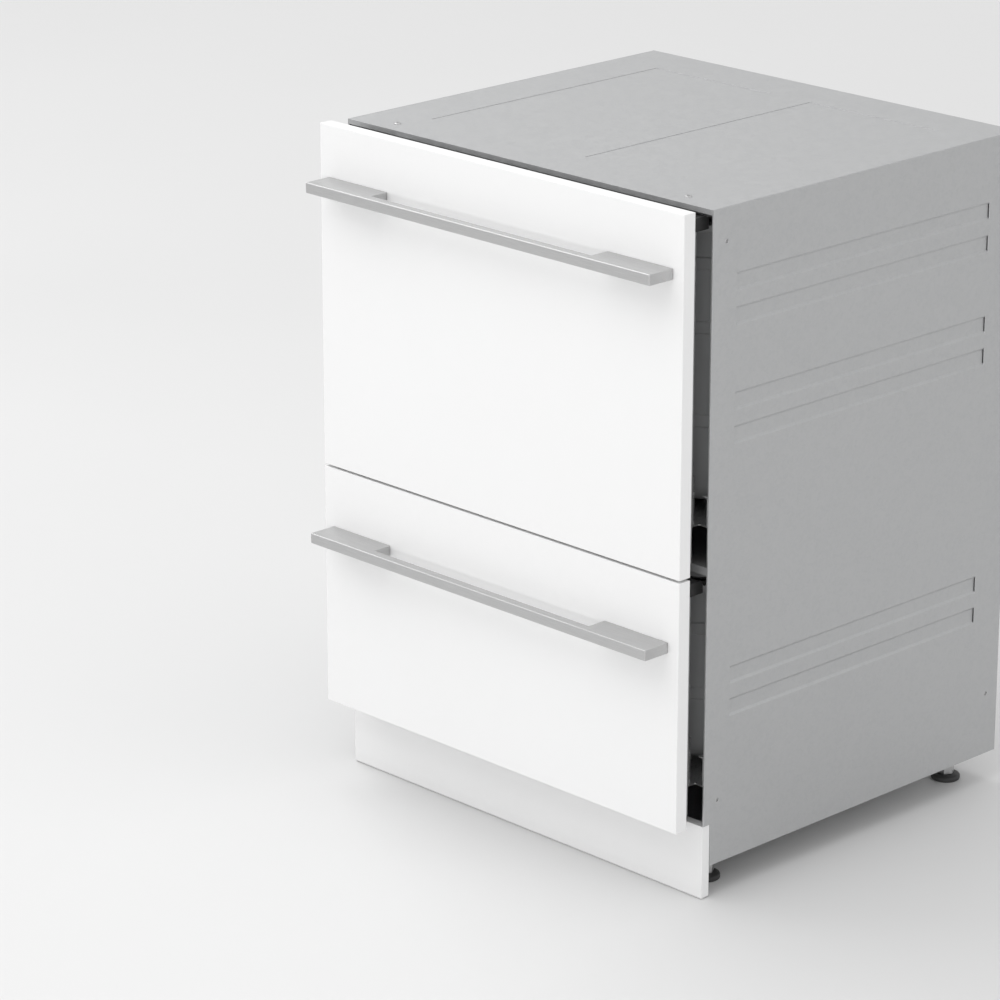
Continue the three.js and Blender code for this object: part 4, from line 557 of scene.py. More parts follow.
MOTOR = moulded("motor_plastic", 0.06, 0.5)
HOSE = moulded("hose_plastic", 0.20, 0.48)
NYLON = coated_wire_finish()
RUBBER = rubber_finish()
LAMP = lens_finish("lamp_lens", (0.55, 0.75, 0.62), 0.4)
GLASS = lens_finish("smoked_window", (0.012, 0.013, 0.015), 0.0)
BUTTON = brushed("spun_button", 0.5, 0.3, 12, along=(30, 30, 30))
BRASS = brushed("plated_thread", 0.48, 0.3, 40, along=(1, 40, 1))

# ---- what the camera sees: panels, handles, plinth


def make_kick_seal():
    """A soft lip that closes the gap between the toe kick and the floor."""
    low, high = (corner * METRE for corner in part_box("toe_kick_panel"))
    front, back, top = low.y + 0.6, high.y - 1, low.z + 0.1
    section = [(front, top), (front - 0.1, top - 0.6), (front + 0.2, top - 1.3)]
    section += [(front + 0.7, 0.3), (front + 2, 0.2), (front + 3, 0.6)]
    section += [(back - 2, top - 0.8), (back, top - 0.7), (back, top)]
    rings = [[(x, y, z) for y, z in section] for x in (low.x + 1, low.x + 300, high.x - 1)]
    Shape().skin(rings).make("toe_kick_seal", SEAL, "chassis", "rubber")


def dress_front():
    for drawer in DRAWERS:
        dress(f"{drawer.name}_front_panel", PANEL, 0.9, 3, clamp=False)
        dress(f"{drawer.name}_handle", HANDLE, 1.3, 3, clamp=False)
    dress("toe_kick_panel", KICK, 0.8, 3, clamp=False)
    make_kick_seal()


# ---- the drawers: tub and washing parts


def at(drawer, x, y, z):
    """A point measured from the middle of a drawer's tub, at the height of its floor."""
    return Vector((x, CENTRE_Y + y, drawer.floor + z))


def tub_loop(drawer, grow, z):
    """The tub's outline at one height, drawn in or out all round."""
    return rounded_loop(at(drawer, 0, 0, z), TUB_X + grow, TUB_Y + grow, TUB_CORNER + grow)


TUB_DIRECTIONS = [math.atan2(point.y - CENTRE_Y, point.x) for point in tub_loop(LOWER, 0, 0)]


def sump_loop(drawer, radius, z):
    """A circle that has one point for each point of the tub's outline."""
    spots = [(radius * math.cos(angle), radius * math.sin(angle)) for angle in TUB_DIRECTIONS]
    return [at(drawer, x, y, z) for x, y in spots]


def floor_loops(edge, sump, groove):
    """Outlines from the edge of the tub's floor to the sump, with radial grooves between them."""
    count, grooves = 12, 16
    loops = []
    for step in range(1, count):
        share = step / count
        depth = groove * max(0.0, min(1.0, 3.2 * min(share - 0.04, 0.93 - share)))
        loop = []
        for first, last, angle in zip(edge, sump, TUB_DIRECTIONS):
            channel = max(0.0, math.cos(grooves * angle)) ** 0.6
            loop.append(first.lerp(last, share) - UP * depth * channel)
        loops.append(loop)
    return loops


TUB_RIM = (  # (outward from the tub's inside, below the top)
    (3, 5), (3.8, 3.4), (5, 3), (14.8, 3), (15, 3.4), (15, 8.8), (15.4, 9), (17.6, 9), (18, 8.6),
    (18, 1.8), (17.6, 0.7), (16.5, 0.1), (15, 0), (14.6, 0.4), (6.4, 0.4), (6, 0), (3, 0),
    (1.6, 0.4), (0.9, 1.4), (0.8, 16), (0.4, 17.2), (0, 18.4),
)
SUMP_OUTSIDE = ((7.4, -27), (SUMP + 0.3, -27), (SUMP + 1.2, -26), (SUMP + 3, -4.5))
SUMP_INSIDE = ((65.8, -1.2), (65, -4), (63.6, -21.5), (61.8, -24), (7.4, -24))


def tub_profile(drawer):
    """Outlines of the tub from under the sump, up outside, over the rim and down inside."""
    rim = drawer.rim - drawer.floor
    under, inner = 5, 30 - FLOOR_FILLET  # the floor's heights at its edge, outside and inside
    fillet = []
    for step in range(6):
        angle = math.radians(18 * step)
        fillet.append((FLOOR_FILLET * (1 - math.sin(angle)), FLOOR_FILLET * (1 - math.cos(angle))))
    loops = [sump_loop(drawer, *spot) for spot in SUMP_OUTSIDE]
    edge = tub_loop(drawer, TUB_WALL - FLOOR_FILLET, under)
    base = sump_loop(drawer, SUMP + 4.5, -3)
    loops += [base, *reversed(floor_loops(edge, base, 0.0))]
    loops += [tub_loop(drawer, TUB_WALL - inward, under + rise) for inward, rise in fillet]
    for band in drawer.tub_bands:
        for rise, grow in ((-8, 3), (-6.2, 4.5), (6.2, 4.5), (8, 3)):
            loops.append(tub_loop(drawer, grow, band + rise))
    loops += [tub_loop(drawer, grow, rim - drop) for grow, drop in TUB_RIM]
    loops += [tub_loop(drawer, -inward, inner + rise) for rise, inward in fillet]
    lip = sump_loop(drawer, SUMP + 1.5, 0)
    loops += [*floor_loops(loops[-1], lip, 1.6), lip]
    return loops + [sump_loop(drawer, *spot) for spot in SUMP_INSIDE]


def rim_gussets(shape, drawer):
    """Thin webs that stiffen the rim from below."""
    rim = drawer.rim - drawer.floor - 3.2
    spots = []
    for i in range(-4, 5):
        spots += [(i * 52, side * TUB_Y, 0, side) for side in (-1, 1)]
    for i in range(-3, 4):
        spots += [(side * TUB_X, i * 50, side, 0) for side in (-1, 1)]
    for x, y, out_x, out_y in spots:
        rings = []
        for half in (-0.9, 0.9):
            ring = []
            for reach, z in ((2.6, rim), (14.4, rim), (14.4, rim - 6), (2.6, rim - 30)):
                across, into = x + out_x * reach + out_y * half, y + out_y * reach + out_x * half
                ring.append(at(drawer, across, into, z))
            rings.append(ring)
        shape.skin(rings)


def make_tub(drawer):
    """The shell, with stiffening ribs under its floor, seats for the rack and the hose's spigot."""
    shape = Shape().skin(tub_profile(drawer), looped=True)
    rim_gussets(shape, drawer)
    for x in (-227, 227):
        shape.pad(at(drawer, x, 0, 0), 5, 170, -2, 6.5, 0.8, 1)
    shape.around(Shape().block((72, -1, -2), (196, 1, 3.4)), 12, at(drawer, 0, 0, 0), phase=0.5)
    seat = [(9, 6.2), (9, 9.4), (8.3, 10.2), (7, 10.5), (4, 10.5), (3.6, 9.8), (0.4, 9.8)]
    for x, y in RACK_FEET:
        shape.lathe(seat, at(drawer, x, y, 0), 28)
    barbs = [(9.5, 207.5), (9.5, 210.5), (6.6, 212), *ribs(3, 3.2, [(7.2, 213.5), (6.3, 216.5)])]
    barbs += [(6.3, 225.8), (5, 226), (4.8, 215), (0.4, 215)]
    shape.lathe(barbs, at(drawer, SPIGOT_X, 0, HOSE_RISE), 28, axis="Y")
    piece = shape.make(f"{drawer.name}_tub_shell", TUB, drawer.body, "tub_plastic", angle=34)
    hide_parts(f"{drawer.name}_tub")


ARM_REACH = 186
NOZZLES = (-0.86, -0.73, -0.58, -0.42, -0.27, 0.20, 0.35, 0.50, 0.66, 0.80, 0.90)  # of the reach


def arm_middle(t):
    """How far the arm's middle line bows, from -1 at one tip to 1 at the other."""
    return 20 * math.sin(math.pi * t)


def arm_blades(drawer):
    """Two swept blades with a lens-shaped section that narrows to rounded tips."""
    stations = 56
    rings = []
    for i in range(stations + 1):
        t = 2 * i / stations - 1
        tip = max(0.0, (abs(t) - 0.93) / 0.07)
        taper = math.sqrt(max(0.0, 1 - tip * tip))
        half = (40 - 16 * abs(t)) / 2 * max(0.30, taper)
        thick = 4.5 * (1 - 0.12 * abs(t)) * max(0.45, taper)
        ring = []
        for across, up in circle(1, 20):
            rise = thick * math.copysign(abs(up) ** 0.75, up)
            ring.append(at(drawer, t * ARM_REACH, arm_middle(t) + half * across, 19.5 + rise))
        rings.append(ring)
    return rings


def make_spray_arm(drawer):
    """The blades on a hub with finger wings, a rib along each of them, and the nozzles."""
    body = f"{drawer.name}_spray_arm"
    shape = Shape().skin(arm_blades(drawer))
    hub = [(7.4, 12), (22.5, 12), (23.8, 13.2), (24, 16.5), (24, 23.8), (22.8, 26.2), (19, 28.4)]
    hub += [(12, 29.6), (6, 30), (0.4, 30), (0.4, 20.3), (7.4, 20.3)]
    shape.lathe(hub, at(drawer, 0, 0, 0), 48, looped=True)
    shape.around(Shape().block((4, -1.3, 26.2), (19.5, 1.3, 31), 0.9), 3, at(drawer, 0, 0, 0))
    for side in (-1, 1):
        shares = [side * i / 20 for i in range(3, 19)]
        shape.tube([at(drawer, t * ARM_REACH, arm_middle(t), 23.1) for t in shares], 1.3, 6)
    boss = [(5.2, -2), (5, -0.4), (4, 0.9), (2.9, 1.2), (2.4, 0.9), (2.2, 0.1), (0.3, 0.1)]
    boss.append((0.3, -2))
    slit = Shape().block((-1.8, -0.6, -0.2), (1.8, 0.6, 0.4), 0.2, 1)
    slits = Shape()
    for i, t in enumerate(NOZZLES):
        side = (-1) ** i * (3.5 + 2.2 * (1 - abs(t)))
        centre = at(drawer, t * ARM_REACH, arm_middle(t) + side, 23.6 - 0.6 * abs(t))
        shape.lathe(boss, centre, 24)
        slits.placed(slit, centre, Matrix.Rotation(i * 0.9, 4, "Z"))
    piece = shape.make(f"{drawer.name}_spray_blades", GREY, body, "grey_plastic", angle=42)
    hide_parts(f"{drawer.name}_spray_arm")
    slits.make(f"{drawer.name}_spray_nozzles", DARK, body, "dark_plastic")


def slot_outline(x0, x1, y, half):
    """A slot with round ends, from its two ends, its middle line and half its width."""
    outline = []
    for centre, start in ((x1 - half, -90), (x0 + half, 90)):
        for step in range(7):
            angle = math.radians(start + step * 30)
            outline.append((centre + half * math.cos(angle), y + half * math.sin(angle)))
    return outline


def plate_mesh(name, outlines, thickness):
    """A flat plate in metres through filled outlines, about its own middle, made from a curve."""
    curve = bpy.data.curves.new(name, "CURVE")
    curve.dimensions = "2D"
    curve.fill_mode = "BOTH"
    curve.extrude = thickness / 2 / METRE
    for outline in outlines:
        spline = curve.splines.new("POLY")
        spline.points.add(len(outline) - 1)
        for point, (x, y) in zip(spline.points, outline):
            point.co = (x / METRE, y / METRE, 0, 1)
        spline.use_cyclic_u = True
    holder = bpy.data.objects.new(name + "_curve", curve)
    bpy.context.scene.collection.objects.link(holder)
    mesh = bpy.data.meshes.new_from_object(holder)
    bpy.data.objects.remove(holder)
    bpy.data.curves.remove(curve)
    mend(mesh, weld=1e-6)
    mesh.materials.clear()
    return mesh


def make_filter_plate(drawer):
    """A round sheet with an opening for the drain filter, a row of slots and many small holes."""
    outlines = [circle(60.6, 72), circle(7.8, 28), circle(19.8, 44, FILTER_X)]
    outlines += [slot_outline(-42, -16, y, 1.5) for y in range(-30, 31, 10)]
    spacing = 4.2
    for row in range(-14, 15):
        for column in range(-15, 16):
            x = (column + 0.5 * (row % 2)) * spacing
            y = row * spacing * math.sin(math.pi / 3)
            slotted = -45.5 < x < -12.5 and abs(y) < 33.5
            near_hole = math.hypot(x, y) < 11.8 or math.hypot(x - FILTER_X, y) < 24.2
            if math.hypot(x, y) <= 55.5 and not slotted and not near_hole:
                outlines.append(circle(1.2, 8, x, y))
    name = f"{drawer.name}_filter_sheet"
    mesh = plate_mesh(name, outlines, 1.2)
    mesh.transform(Matrix.Translation(at(drawer, 0, 0, -2.2) / METRE))
    piece = finish_mesh(name, mesh, STAINLESS, drawer.body, 30)
    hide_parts(f"{drawer.name}_filter_plate")
    edge = [(58.8, -1.6), (60, -1.5), (60.8, -1.9), (61, -2.8), (60.8, -3.8), (59.6, -4)]
    rim = Shape().lathe([*edge, (58.8, -3.6)], at(drawer, 0, 0, 0), 72, looped=True)
    rim.make(f"{drawer.name}_filter_rim", STAINLESS, drawer.body, "stainless")


def make_drain_filter(drawer):
    """A ribbed cup with a grip bar across its lid and a milled edge."""
    middle = at(drawer, FILTER_X, 0, 0)
    cup = [(17, -21), (19, -21)]
    cup += ribs(7, 2.4, [(19, -19.5), (18.4, -19), (18.4, -17.9), (19, -17.4)])
    cup += [(19, -1.2), (21.4, -1.2), (22, -0.7), (22, 0.6), (21.4, 1.3)]
    cup += [(17.2, 1.3), (16, 0.5), (0.4, 0.5), (0.4, -1.2), (17, -1.2)]
    shape = Shape().lathe(cup, middle, 48, looped=True)
    shape.pad(middle, 16.6, 2.5, -0.2, 8.3, 1.4, 3)
    shape.around(Shape().block((20.6, -0.7, -0.6), (21.9, 0.7, 1.1), 0.3, 1), 24, middle)
    for x in (FILTER_X - 13, FILTER_X + 13):
        shape.lathe([(3, 1), (3, 7.4), (2.4, 8.2), (0.4, 8.3)], at(drawer, x, 0, 0), 20)
    body = f"{drawer.name}_drain_filter"
    piece = shape.make(f"{drawer.name}_filter_cup", PALE, body, "grey_plastic", angle=38)
    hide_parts(f"{drawer.name}_drain_filter")


def make_motor(drawer):
    """A flat pump motor: a ribbed can, a connector box with pins, the shaft and three bolts."""
    middle = at(drawer, 0, 0, 0)
    can = [(0.4, -47), (30, -47), (32, -46.2), (50, -46.2), (52.2, -45), (53, -43)]
    can += ribs(3, 3.6, [(53, -40.5), (54, -39.8), (54, -38.6), (53, -37.9)])
    can += [(53, -29.2), (53.6, -28.6), (53.8, -27.6), (53.2, -27.3), (0.4, -27.3)]
    shape = Shape().lathe(can, middle, 64)
    shape.around(Shape().block((33, -0.8, -46.8), (50.5, 0.8, -45.8), 0.3, 1), 18, middle)
    shape.block(at(drawer, -17, -77, -44.8), at(drawer, 17, -50, -30.4), 1.6)
    for i in range(4):
        x = -12.5 + i * 7.2
        shape.block(at(drawer, x, -77.8, -42), at(drawer, x + 3.4, -76.5, -33.5), 0.6, 1)
    piece = shape.make(f"{drawer.name}_motor_can", MOTOR, drawer.body, "motor", angle=36)
    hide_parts(f"{drawer.name}_wash_motor")
    shaft = [(6.8, -28), (7, -27), (7, 12), (6.6, 13.2), (6, 14), (6, 19.2), (5.3, 20), (0.4, 20)]
    bolt = Shape().lathe([(3.4, -46.9), (3.4, -45.6), (0.4, -45.6)], (45, 0, 0), 6)
    steel = Shape().lathe(shaft, middle, 28).around(bolt, 3, middle, phase=0.25)
    steel.make(f"{drawer.name}_motor_shaft", BOLT, drawer.body, "stainless")


# ---- the drawers: wire racks


def rack_top(drawer):
    return RACK_FLOOR + drawer.rack_rings[-1]


def make_rack(drawer):
    """A basket of crossed wires with rings round it, fixed tines and four feet, and its clips."""
    shape = Shape()
    top = rack_top(drawer)
    y, limit = RACK_Y - INSIDE, RACK_X - INSIDE - 1.2
    for x in COLUMNS:
        x = max(-limit, min(limit, x))
        spots = [(x, -y, top), (x, -y, ALONG_WIRES), (x, y, ALONG_WIRES), (x, y, top)]
        shape.wire(drawer, spots, bend=9)
    x = RACK_X - INSIDE
    for y in ROWS[1:-1]:
        spots = [(-x, y, top), (-x, y, ACROSS_WIRES), (x, y, ACROSS_WIRES), (x, y, top)]
        shape.wire(drawer, spots, bend=9)
    x, edge = RACK_X - 6, RACK_Y - RACK_CORNER
    for y in (-edge, edge):
        shape.wire(drawer, [(-x, y, ACROSS_WIRES), (x, y, ACROSS_WIRES)])
    for height in drawer.rack_rings:
        z = RACK_FLOOR + height
        loop = rounded_loop(at(drawer, 0, 0, z), RACK_X, RACK_Y, RACK_CORNER, 5, (1, 1))
        shape.tube(loop, THICK_RADIUS if z == top else WIRE_RADIUS, looped=True)
    for column in COLUMNS[4:6]:
        x = column + WIRE_RADIUS * 1.6
        for y in TINES:
            spots = [(x, y, ALONG_WIRES - 1), (x, y, 75), (x, y, RACK_FLOOR + 64.8)]
            shape.wire(drawer, spots, TINE_RADIUS)
    for x, y in RACK_FEET:
        side = math.copysign(1, y)
        ends = [(x, side * edge, ACROSS_WIRES), (x, side * RACK_Y * 2 / 3, ACROSS_WIRES)]
        shape.wire(drawer, ends)
        legs = [(x, y - 10, ACROSS_WIRES), (x, y - 10, 14)]
        legs += [(x, y + 10, 14), (x, y + 10, ACROSS_WIRES)]
        shape.wire(drawer, legs, bend=8.8)
    piece = shape.make(f"{drawer.name}_rack_wires", NYLON, drawer.body, "coated_wire", angle=60)
    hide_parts(f"{drawer.name}_rack")
    make_rack_clips(drawer)


def make_rack_clips(drawer):
    """Clips that hold the pivots of the folding parts, and a cap on each foot."""
    top = rack_top(drawer)
    ring = [(2.4, -3.4), (4.4, -3.4), (4.6, -2.8), (4.6, 2.8), (4.4, 3.4), (2.4, 3.4)]
    clips = Shape()
    for y in (3.5 - FOLD_HALF, FOLD_HALF - 3.5):
        clips.pad(at(drawer, FOLD_X, y, 0), 4.4, 3.4, 46.3, 52.2, 0.8)
        clips.lathe(ring, at(drawer, FOLD_X, y, FOLD_Z), 24, axis="Y", looped=True)
    if drawer is UPPER:
        for y in (-131.5, 131.5):
            clips.lathe(ring, at(drawer, CUP_PIVOT_X, y, top), 24, axis="Y", looped=True)
            low = at(drawer, -247.6, y - 3.4, top - 5.2)
            clips.block(low, at(drawer, CUP_PIVOT_X - 3.4, y + 3.4, top - 1.2), 0.8)
    cap = [(0.4, 10.8), (5.2, 10.8), (6.2, 11.8), (6.2, 14.6), (5, 16.4), (3, 17.2), (0.4, 17.2)]
    for x, y in RACK_FEET:
        clips.lathe(cap, at(drawer, x, y, 0), 24)
    clips.make(f"{drawer.name}_rack_clips", GREY, drawer.body, "grey_plastic")


def make_fold_tines(drawer):
    """A pivot wire with a row of tines on it, and a collar beside each clip."""
    shape = Shape()
    spots = [(FOLD_X, y, FOLD_Z) for y in (-FOLD_HALF, 0, FOLD_HALF)]
    shape.wire(drawer, spots, THICK_RADIUS, sides=10)
    for y in TINES:
        spots = [(FOLD_X, y, z) for z in (FOLD_Z, 85, FOLD_Z + 65.5)]
        shape.wire(drawer, spots, TINE_RADIUS)
    collar = [(1.8, -1.2), (3, -1), (3, 1), (1.8, 1.2)]
    for y in (9.2 - FOLD_HALF, FOLD_HALF - 9.2):
        shape.lathe(collar, at(drawer, FOLD_X, y, FOLD_Z), 20, axis="Y")
    body = f"{drawer.name}_fold_tines"
    piece = shape.make(f"{drawer.name}_tine_row", NYLON, body, "coated_wire", angle=60)
    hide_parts(f"{drawer.name}_fold_tines")


def make_cup_rack():
    """A folding shelf: its pivot, a bent frame, seven cross wires and one along the middle."""
    z = rack_top(UPPER)
    x0, x1, half = CUP_PIVOT_X, CUP_PIVOT_X + 88, 123
    shape = Shape()
    shape.wire(UPPER, [(x0, y, z) for y in (-135, 0, 135)], THICK_RADIUS, sides=10)
    spots = [(x0, -half, z), (x1, -half, z), (x1, half, z), (x0, half, z)]
    shape.wire(UPPER, spots, 1.7, bend=12, steps=6)
    for i in range(1, 8):
        y = -half + 2 * half * i / 8
        shape.wire(UPPER, [(x0, y, z - 0.1), (x1, y, z - 0.1)], 1.4)
    shape.wire(UPPER, [(x0 + 45, -half, z), (x0 + 45, half, z)], 1.4)
    piece = shape.make("upper_cup_shelf", NYLON, "upper_cup_rack", "coated_wire", angle=60)
    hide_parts("upper_cup_rack")


def dress_basket():
    """The basket keeps its solid, with a rolled rim and a middle bar set on it."""
    dress("upper_cutlery_basket", PALE, 0.5)
    low, high = (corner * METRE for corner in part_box("upper_cutlery_basket"))
    middle, half, top = (low + high) / 2, (high - low) / 2, high.z - 0.4
    centre = Vector((middle.x, middle.y, top))
    shape = Shape()
    shape.tube(rounded_loop(centre, half.x - 1.1, half.y - 1.1, 1.4, 4, (1, 1)), 1.3, looped=True)
    shape.tube([(low.x + 1, middle.y, top), (high.x - 1, middle.y, top)], 1.3)
    shape.make("upper_basket_rim", PALE, UPPER.body, "grey_plastic", angle=60)


# ---- lids, seals and hoses


def make_lid_seal(drawer):
    """A rubber gasket with two lips, swept round the lid."""
    half = [(4, 3.7), (4, 0.4), (3.7, -1), (2.7, -3), (1.8, -3.8), (1, -4), (0.4, -3.4)]
    section = [(-offset, height) for offset, height in half] + [(0, -2.6), *reversed(half)]
    bottom = drawer.lid_bottom - drawer.floor
    rings = [tub_loop(drawer, 10.5 + offset, bottom + height) for offset, height in section]
    shape = Shape().skin(rings, looped=True)
    piece = shape.make(f"{drawer.name}_gasket", RUBBER, f"{drawer.name}_lid", "rubber", angle=60)
    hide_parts(f"{drawer.name}_lid_seal")


def make_hose(drawer):
    """A corrugated hose from the tub's spigot to the duct, made in one fixed shape. The real one
    bends as the drawer slides.
    """
    z = drawer.floor + HOSE_RISE
    route = [(SPIGOT_X, 228.5), (SPIGOT_X, 244), (SPIGOT_X, 251), (-181, 264.65), (-150, 273.65)]
    route += [(-60, 272.65), (60, 266.65), (146, 264.65), (178, 268.65)]
    route += [(HOSE_END_X, 280.85), (HOSE_END_X, 287.85)]
    path = smooth_path([(x, y, z) for x, y in route], 1.25)
    cuff = 11  # steps of the path at each end
    radii = []
    for i in range(len(path)):
        end = min(i, len(path) - 1 - i)
        radii.append(8.0 if end < cuff else 7.3 + 0.6 * math.cos(TAU * i / 4))
    shape = Shape().skin(tube_rings(path, radii, 16))
    piece = shape.make(f"{drawer.name}_ribbed_hose", HOSE, None, "hose", angle=70, even=False)
    z /= METRE
    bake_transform(piece)
    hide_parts(f"{drawer.name}_hose")
    make_clamp(drawer, "spigot", drawer.body, SPIGOT_X, 235)
    make_clamp(drawer, "duct", "chassis", HOSE_END_X, 282.5)


def make_clamp(drawer, end, body, x, y):
    """A band round one end of the hose, with its lug and screw."""
    z = drawer.floor + HOSE_RISE
    band = [(8.1, -3.2), (8.8, -3.2), (9, -2.8), (9, 2.8), (8.8, 3.2), (8.1, 3.2)]
    screw = [(1.9, -7.5), (2.2, -7), (2.2, -5), (1.2, -4.5), (1.2, 5.5), (0.4, 5.8)]
    clamp = Shape().lathe(band, (x, y, z), 36, axis="Y", looped=True)
    clamp.pad((x, y, z), 4.2, 2.4, 8.6, 13.6, 0.6)
    clamp.lathe(screw, (x, y, z + 11.2), 16, axis="X")
    clamp.make(f"{drawer.name}_hose_clamp_{end}", STAINLESS, body, "stainless")


# ---- buttons, lamps, dispensers

BUTTON_X, BUTTON_Y = -210, -232.1
KEYS = [-150 + i * 26 for i in range(6)]


def make_controls(drawer):
    """The power button with its ring, a row of keys with lamps, and a dark display window."""
    middle = (BUTTON_X, BUTTON_Y, drawer.strip_top)
    crown = [(0.4, 0.8), (4.5, 0.6), (6.6, 0.8), (7.6, 1), (8.4, 0.9), (8.9, 0.3), (9, -0.5)]
    button = Shape().lathe([*crown, (9, -7), (0.4, -7)], middle, 40)
    body = f"{drawer.name}_power_button"
    piece = button.make(f"{drawer.name}_power_key", BUTTON, body, "button")
    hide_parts(f"{drawer.name}_power_button")
    edge = [(9.6, -0.2), (11.2, -0.2), (11.1, 0.3), (10.6, 0.5), (9.9, 0.4)]
    ring = Shape().lathe(edge, middle, 40, looped=True)
    ring.make(f"{drawer.name}_button_ring", STAINLESS, drawer.body, "stainless")

    keys, lamps, top = Shape(), Shape(), drawer.strip_top
    for x in KEYS:
        keys.pad((x, BUTTON_Y, top), 8.5, 4.5, -0.3, 0.6, 0.5)
        lamps.pad((x, BUTTON_Y + 8.5, top), 3, 0.7, -0.3, 0.4, 0.3, 1)
    lamps.pad((BUTTON_X, BUTTON_Y + 13.4, top), 2.2, 0.6, -0.3, 0.4, 0.3, 1)
    window = Shape().pad((64, BUTTON_Y + 0.75, top), 34, 7.75, -0.3, 0.4, 0.4)
    keys.make(f"{drawer.name}_keys", KEY, drawer.body, "control_plastic")
    lamps.make(f"{drawer.name}_lamps", LAMP, drawer.body, "control_plastic")
    window.make(f"{drawer.name}_display_window", GLASS, drawer.body, "control_plastic")


def dress_dispenser(drawer):
    """The dispenser and its door, with grip ribs and a catch on the door and a rinse-aid cap."""
    dress(f"{drawer.name}_dispenser", GREY, 0.8, 3)
    dress(f"{drawer.name}_dispenser_door", DARK, 0.5)
    low, high = (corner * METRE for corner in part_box(f"{drawer.name}_dispenser_door"))
    x, middle = (low.x + high.x) / 2, (low.z + high.z) / 2
    shape = Shape()
    for i in range(3):
        shape.pad((x, high.y + 0.1, low.z + 10 + i * 4.5), 26, 0.5, 0, 1.6, 0.4, 1)
    shape.pad((x, high.y + 0.9, high.z), 10, 1.5, -9.5, -3.5, 1, 3)
    shape.make(f"{drawer.name}_cup_catch", GREY, f"{drawer.name}_dispenser_door", "dark_plastic")
    cap_x, front = -36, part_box(f"{drawer.name}_dispenser")[1].y * METRE
    cap = Shape().pad((cap_x, front + 1.15, middle), 11.5, 1.65, -2.2, 2.2, 0.9, 3)
    rim = [(13.8, -0.6), (13.8, 0.6), (13, 1), (12.4, 0.6), (12.4, -0.6)]
    cap.lathe(rim, (cap_x, front, middle), 40, axis="Y", looped=True)
    cap.make(f"{drawer.name}_rinse_grip", DARK, drawer.body, "dark_plastic")


# ---- chassis, runners, feet and connections


def screw_head(shape, centre, out, radius, height, tilt):
    """A pan head with a cross recess, standing out of a face along one direction."""
    steps = 32
    cross = [0.14 + 0.42 * (a * a - b * b) ** 4 for a, b in circle(1, steps)]
    dome = [(1, 0), (1, 0.35), (0.93, 0.72), (0.72, 0.95), (0.62, 1)]
    rings = []
    for spread, rise in dome:
        rings.append([(x, y, height * rise) for x, y in circle(radius * spread, steps)])
    for spread, rise in ((1, 1), (5 / 6, 0.35)):
        spots = zip(circle(radius * spread, steps), cross)
        rings.append([(x * share, y * share, height * rise) for (x, y), share in spots])
    turn = Vector(out).to_track_quat("Z", "Y").to_matrix().to_4x4()
    shape.placed(Shape().skin(rings), centre, turn @ Matrix.Rotation(tilt, 4, "Z"))


def make_screws():
    """Four screws in each side of the chassis and two in its top, each turned its own way."""
    shape = Shape()
    for side in (-1, 1):
        for y in (-200.35, 284.65):
            for z in (120, 790):
                tilt = (y * 9 + z) / METRE
                screw_head(shape, (side * 297.8, y, z), (side, 0, 0), 2.4, 1.2, tilt)
    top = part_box("chassis_top")[1].z * METRE
    for x in (-238, 238):
        screw_head(shape, (x, -198.35, top - 0.2), (0, 0, 1), 4.4, 1.7, x * 7 / METRE)
    shape.make("chassis_screws", BOLT, "chassis", "runner_steel")


def make_foot(name, x, y):
    """A round pad with a milled edge, and a threaded stud with its hexagon."""
    body = f"foot_{name}"
    disc = [(0.4, 0.2), (16, 0.2), (16.8, 0), (17.6, 0.6), (18, 1.6), (18, 4.8), (17.2, 6.2)]
    pad = Shape().lathe([*disc, (14.5, 7.4), (11.8, 8), (0.4, 8)], (x, y, 0), 48)
    pad.around(Shape().block((17.2, -0.6, 1.8), (18, 0.6, 4.6), 0.2, 1), 30, (x, y, 0))
    piece = pad.make(f"{body}_pad", FOOT, body, "foot")
    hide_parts(body)
    hexagon = [(0.4, 7.8), (9.8, 7.8), (11, 8.8), (11, 21.2), (9.8, 22), (0.4, 22)]
    washer = [(5, 21.6), (6.2, 22), (6.2, 22.8), (4.6, 23.2), (0.4, 23.2)]
    turns = ribs(50, 1.5, [(4.4, 23.6), (5, 24.15), (5, 24.35), (4.4, 24.9)])
    thread = [(0.4, 22.5), (4.6, 22.5), *turns, (4.4, 98.8), (3.8, 100), (0.4, 100)]
    stud = Shape()
    for profile, steps in ((hexagon, 6), (washer, 28), (thread, 22)):
        stud.lathe(profile, (x, y, 0), steps)
    stud.make(f"{body}_stud", BOLT, body, "runner_steel", angle=30)


GLAND_X, INLET_X, DRAIN_X = 162, 190, 218
OUTLET_Y, OUTLET_Z = 306.4, 81  # the outlet block's back, and the height of its holes


def outlet_ring(x, profile, steps):
    """A profile turned about the axis of one of the outlet block's holes."""
    return Shape().lathe(profile, (x, OUTLET_Y, OUTLET_Z), steps, axis="Y", looped=True)


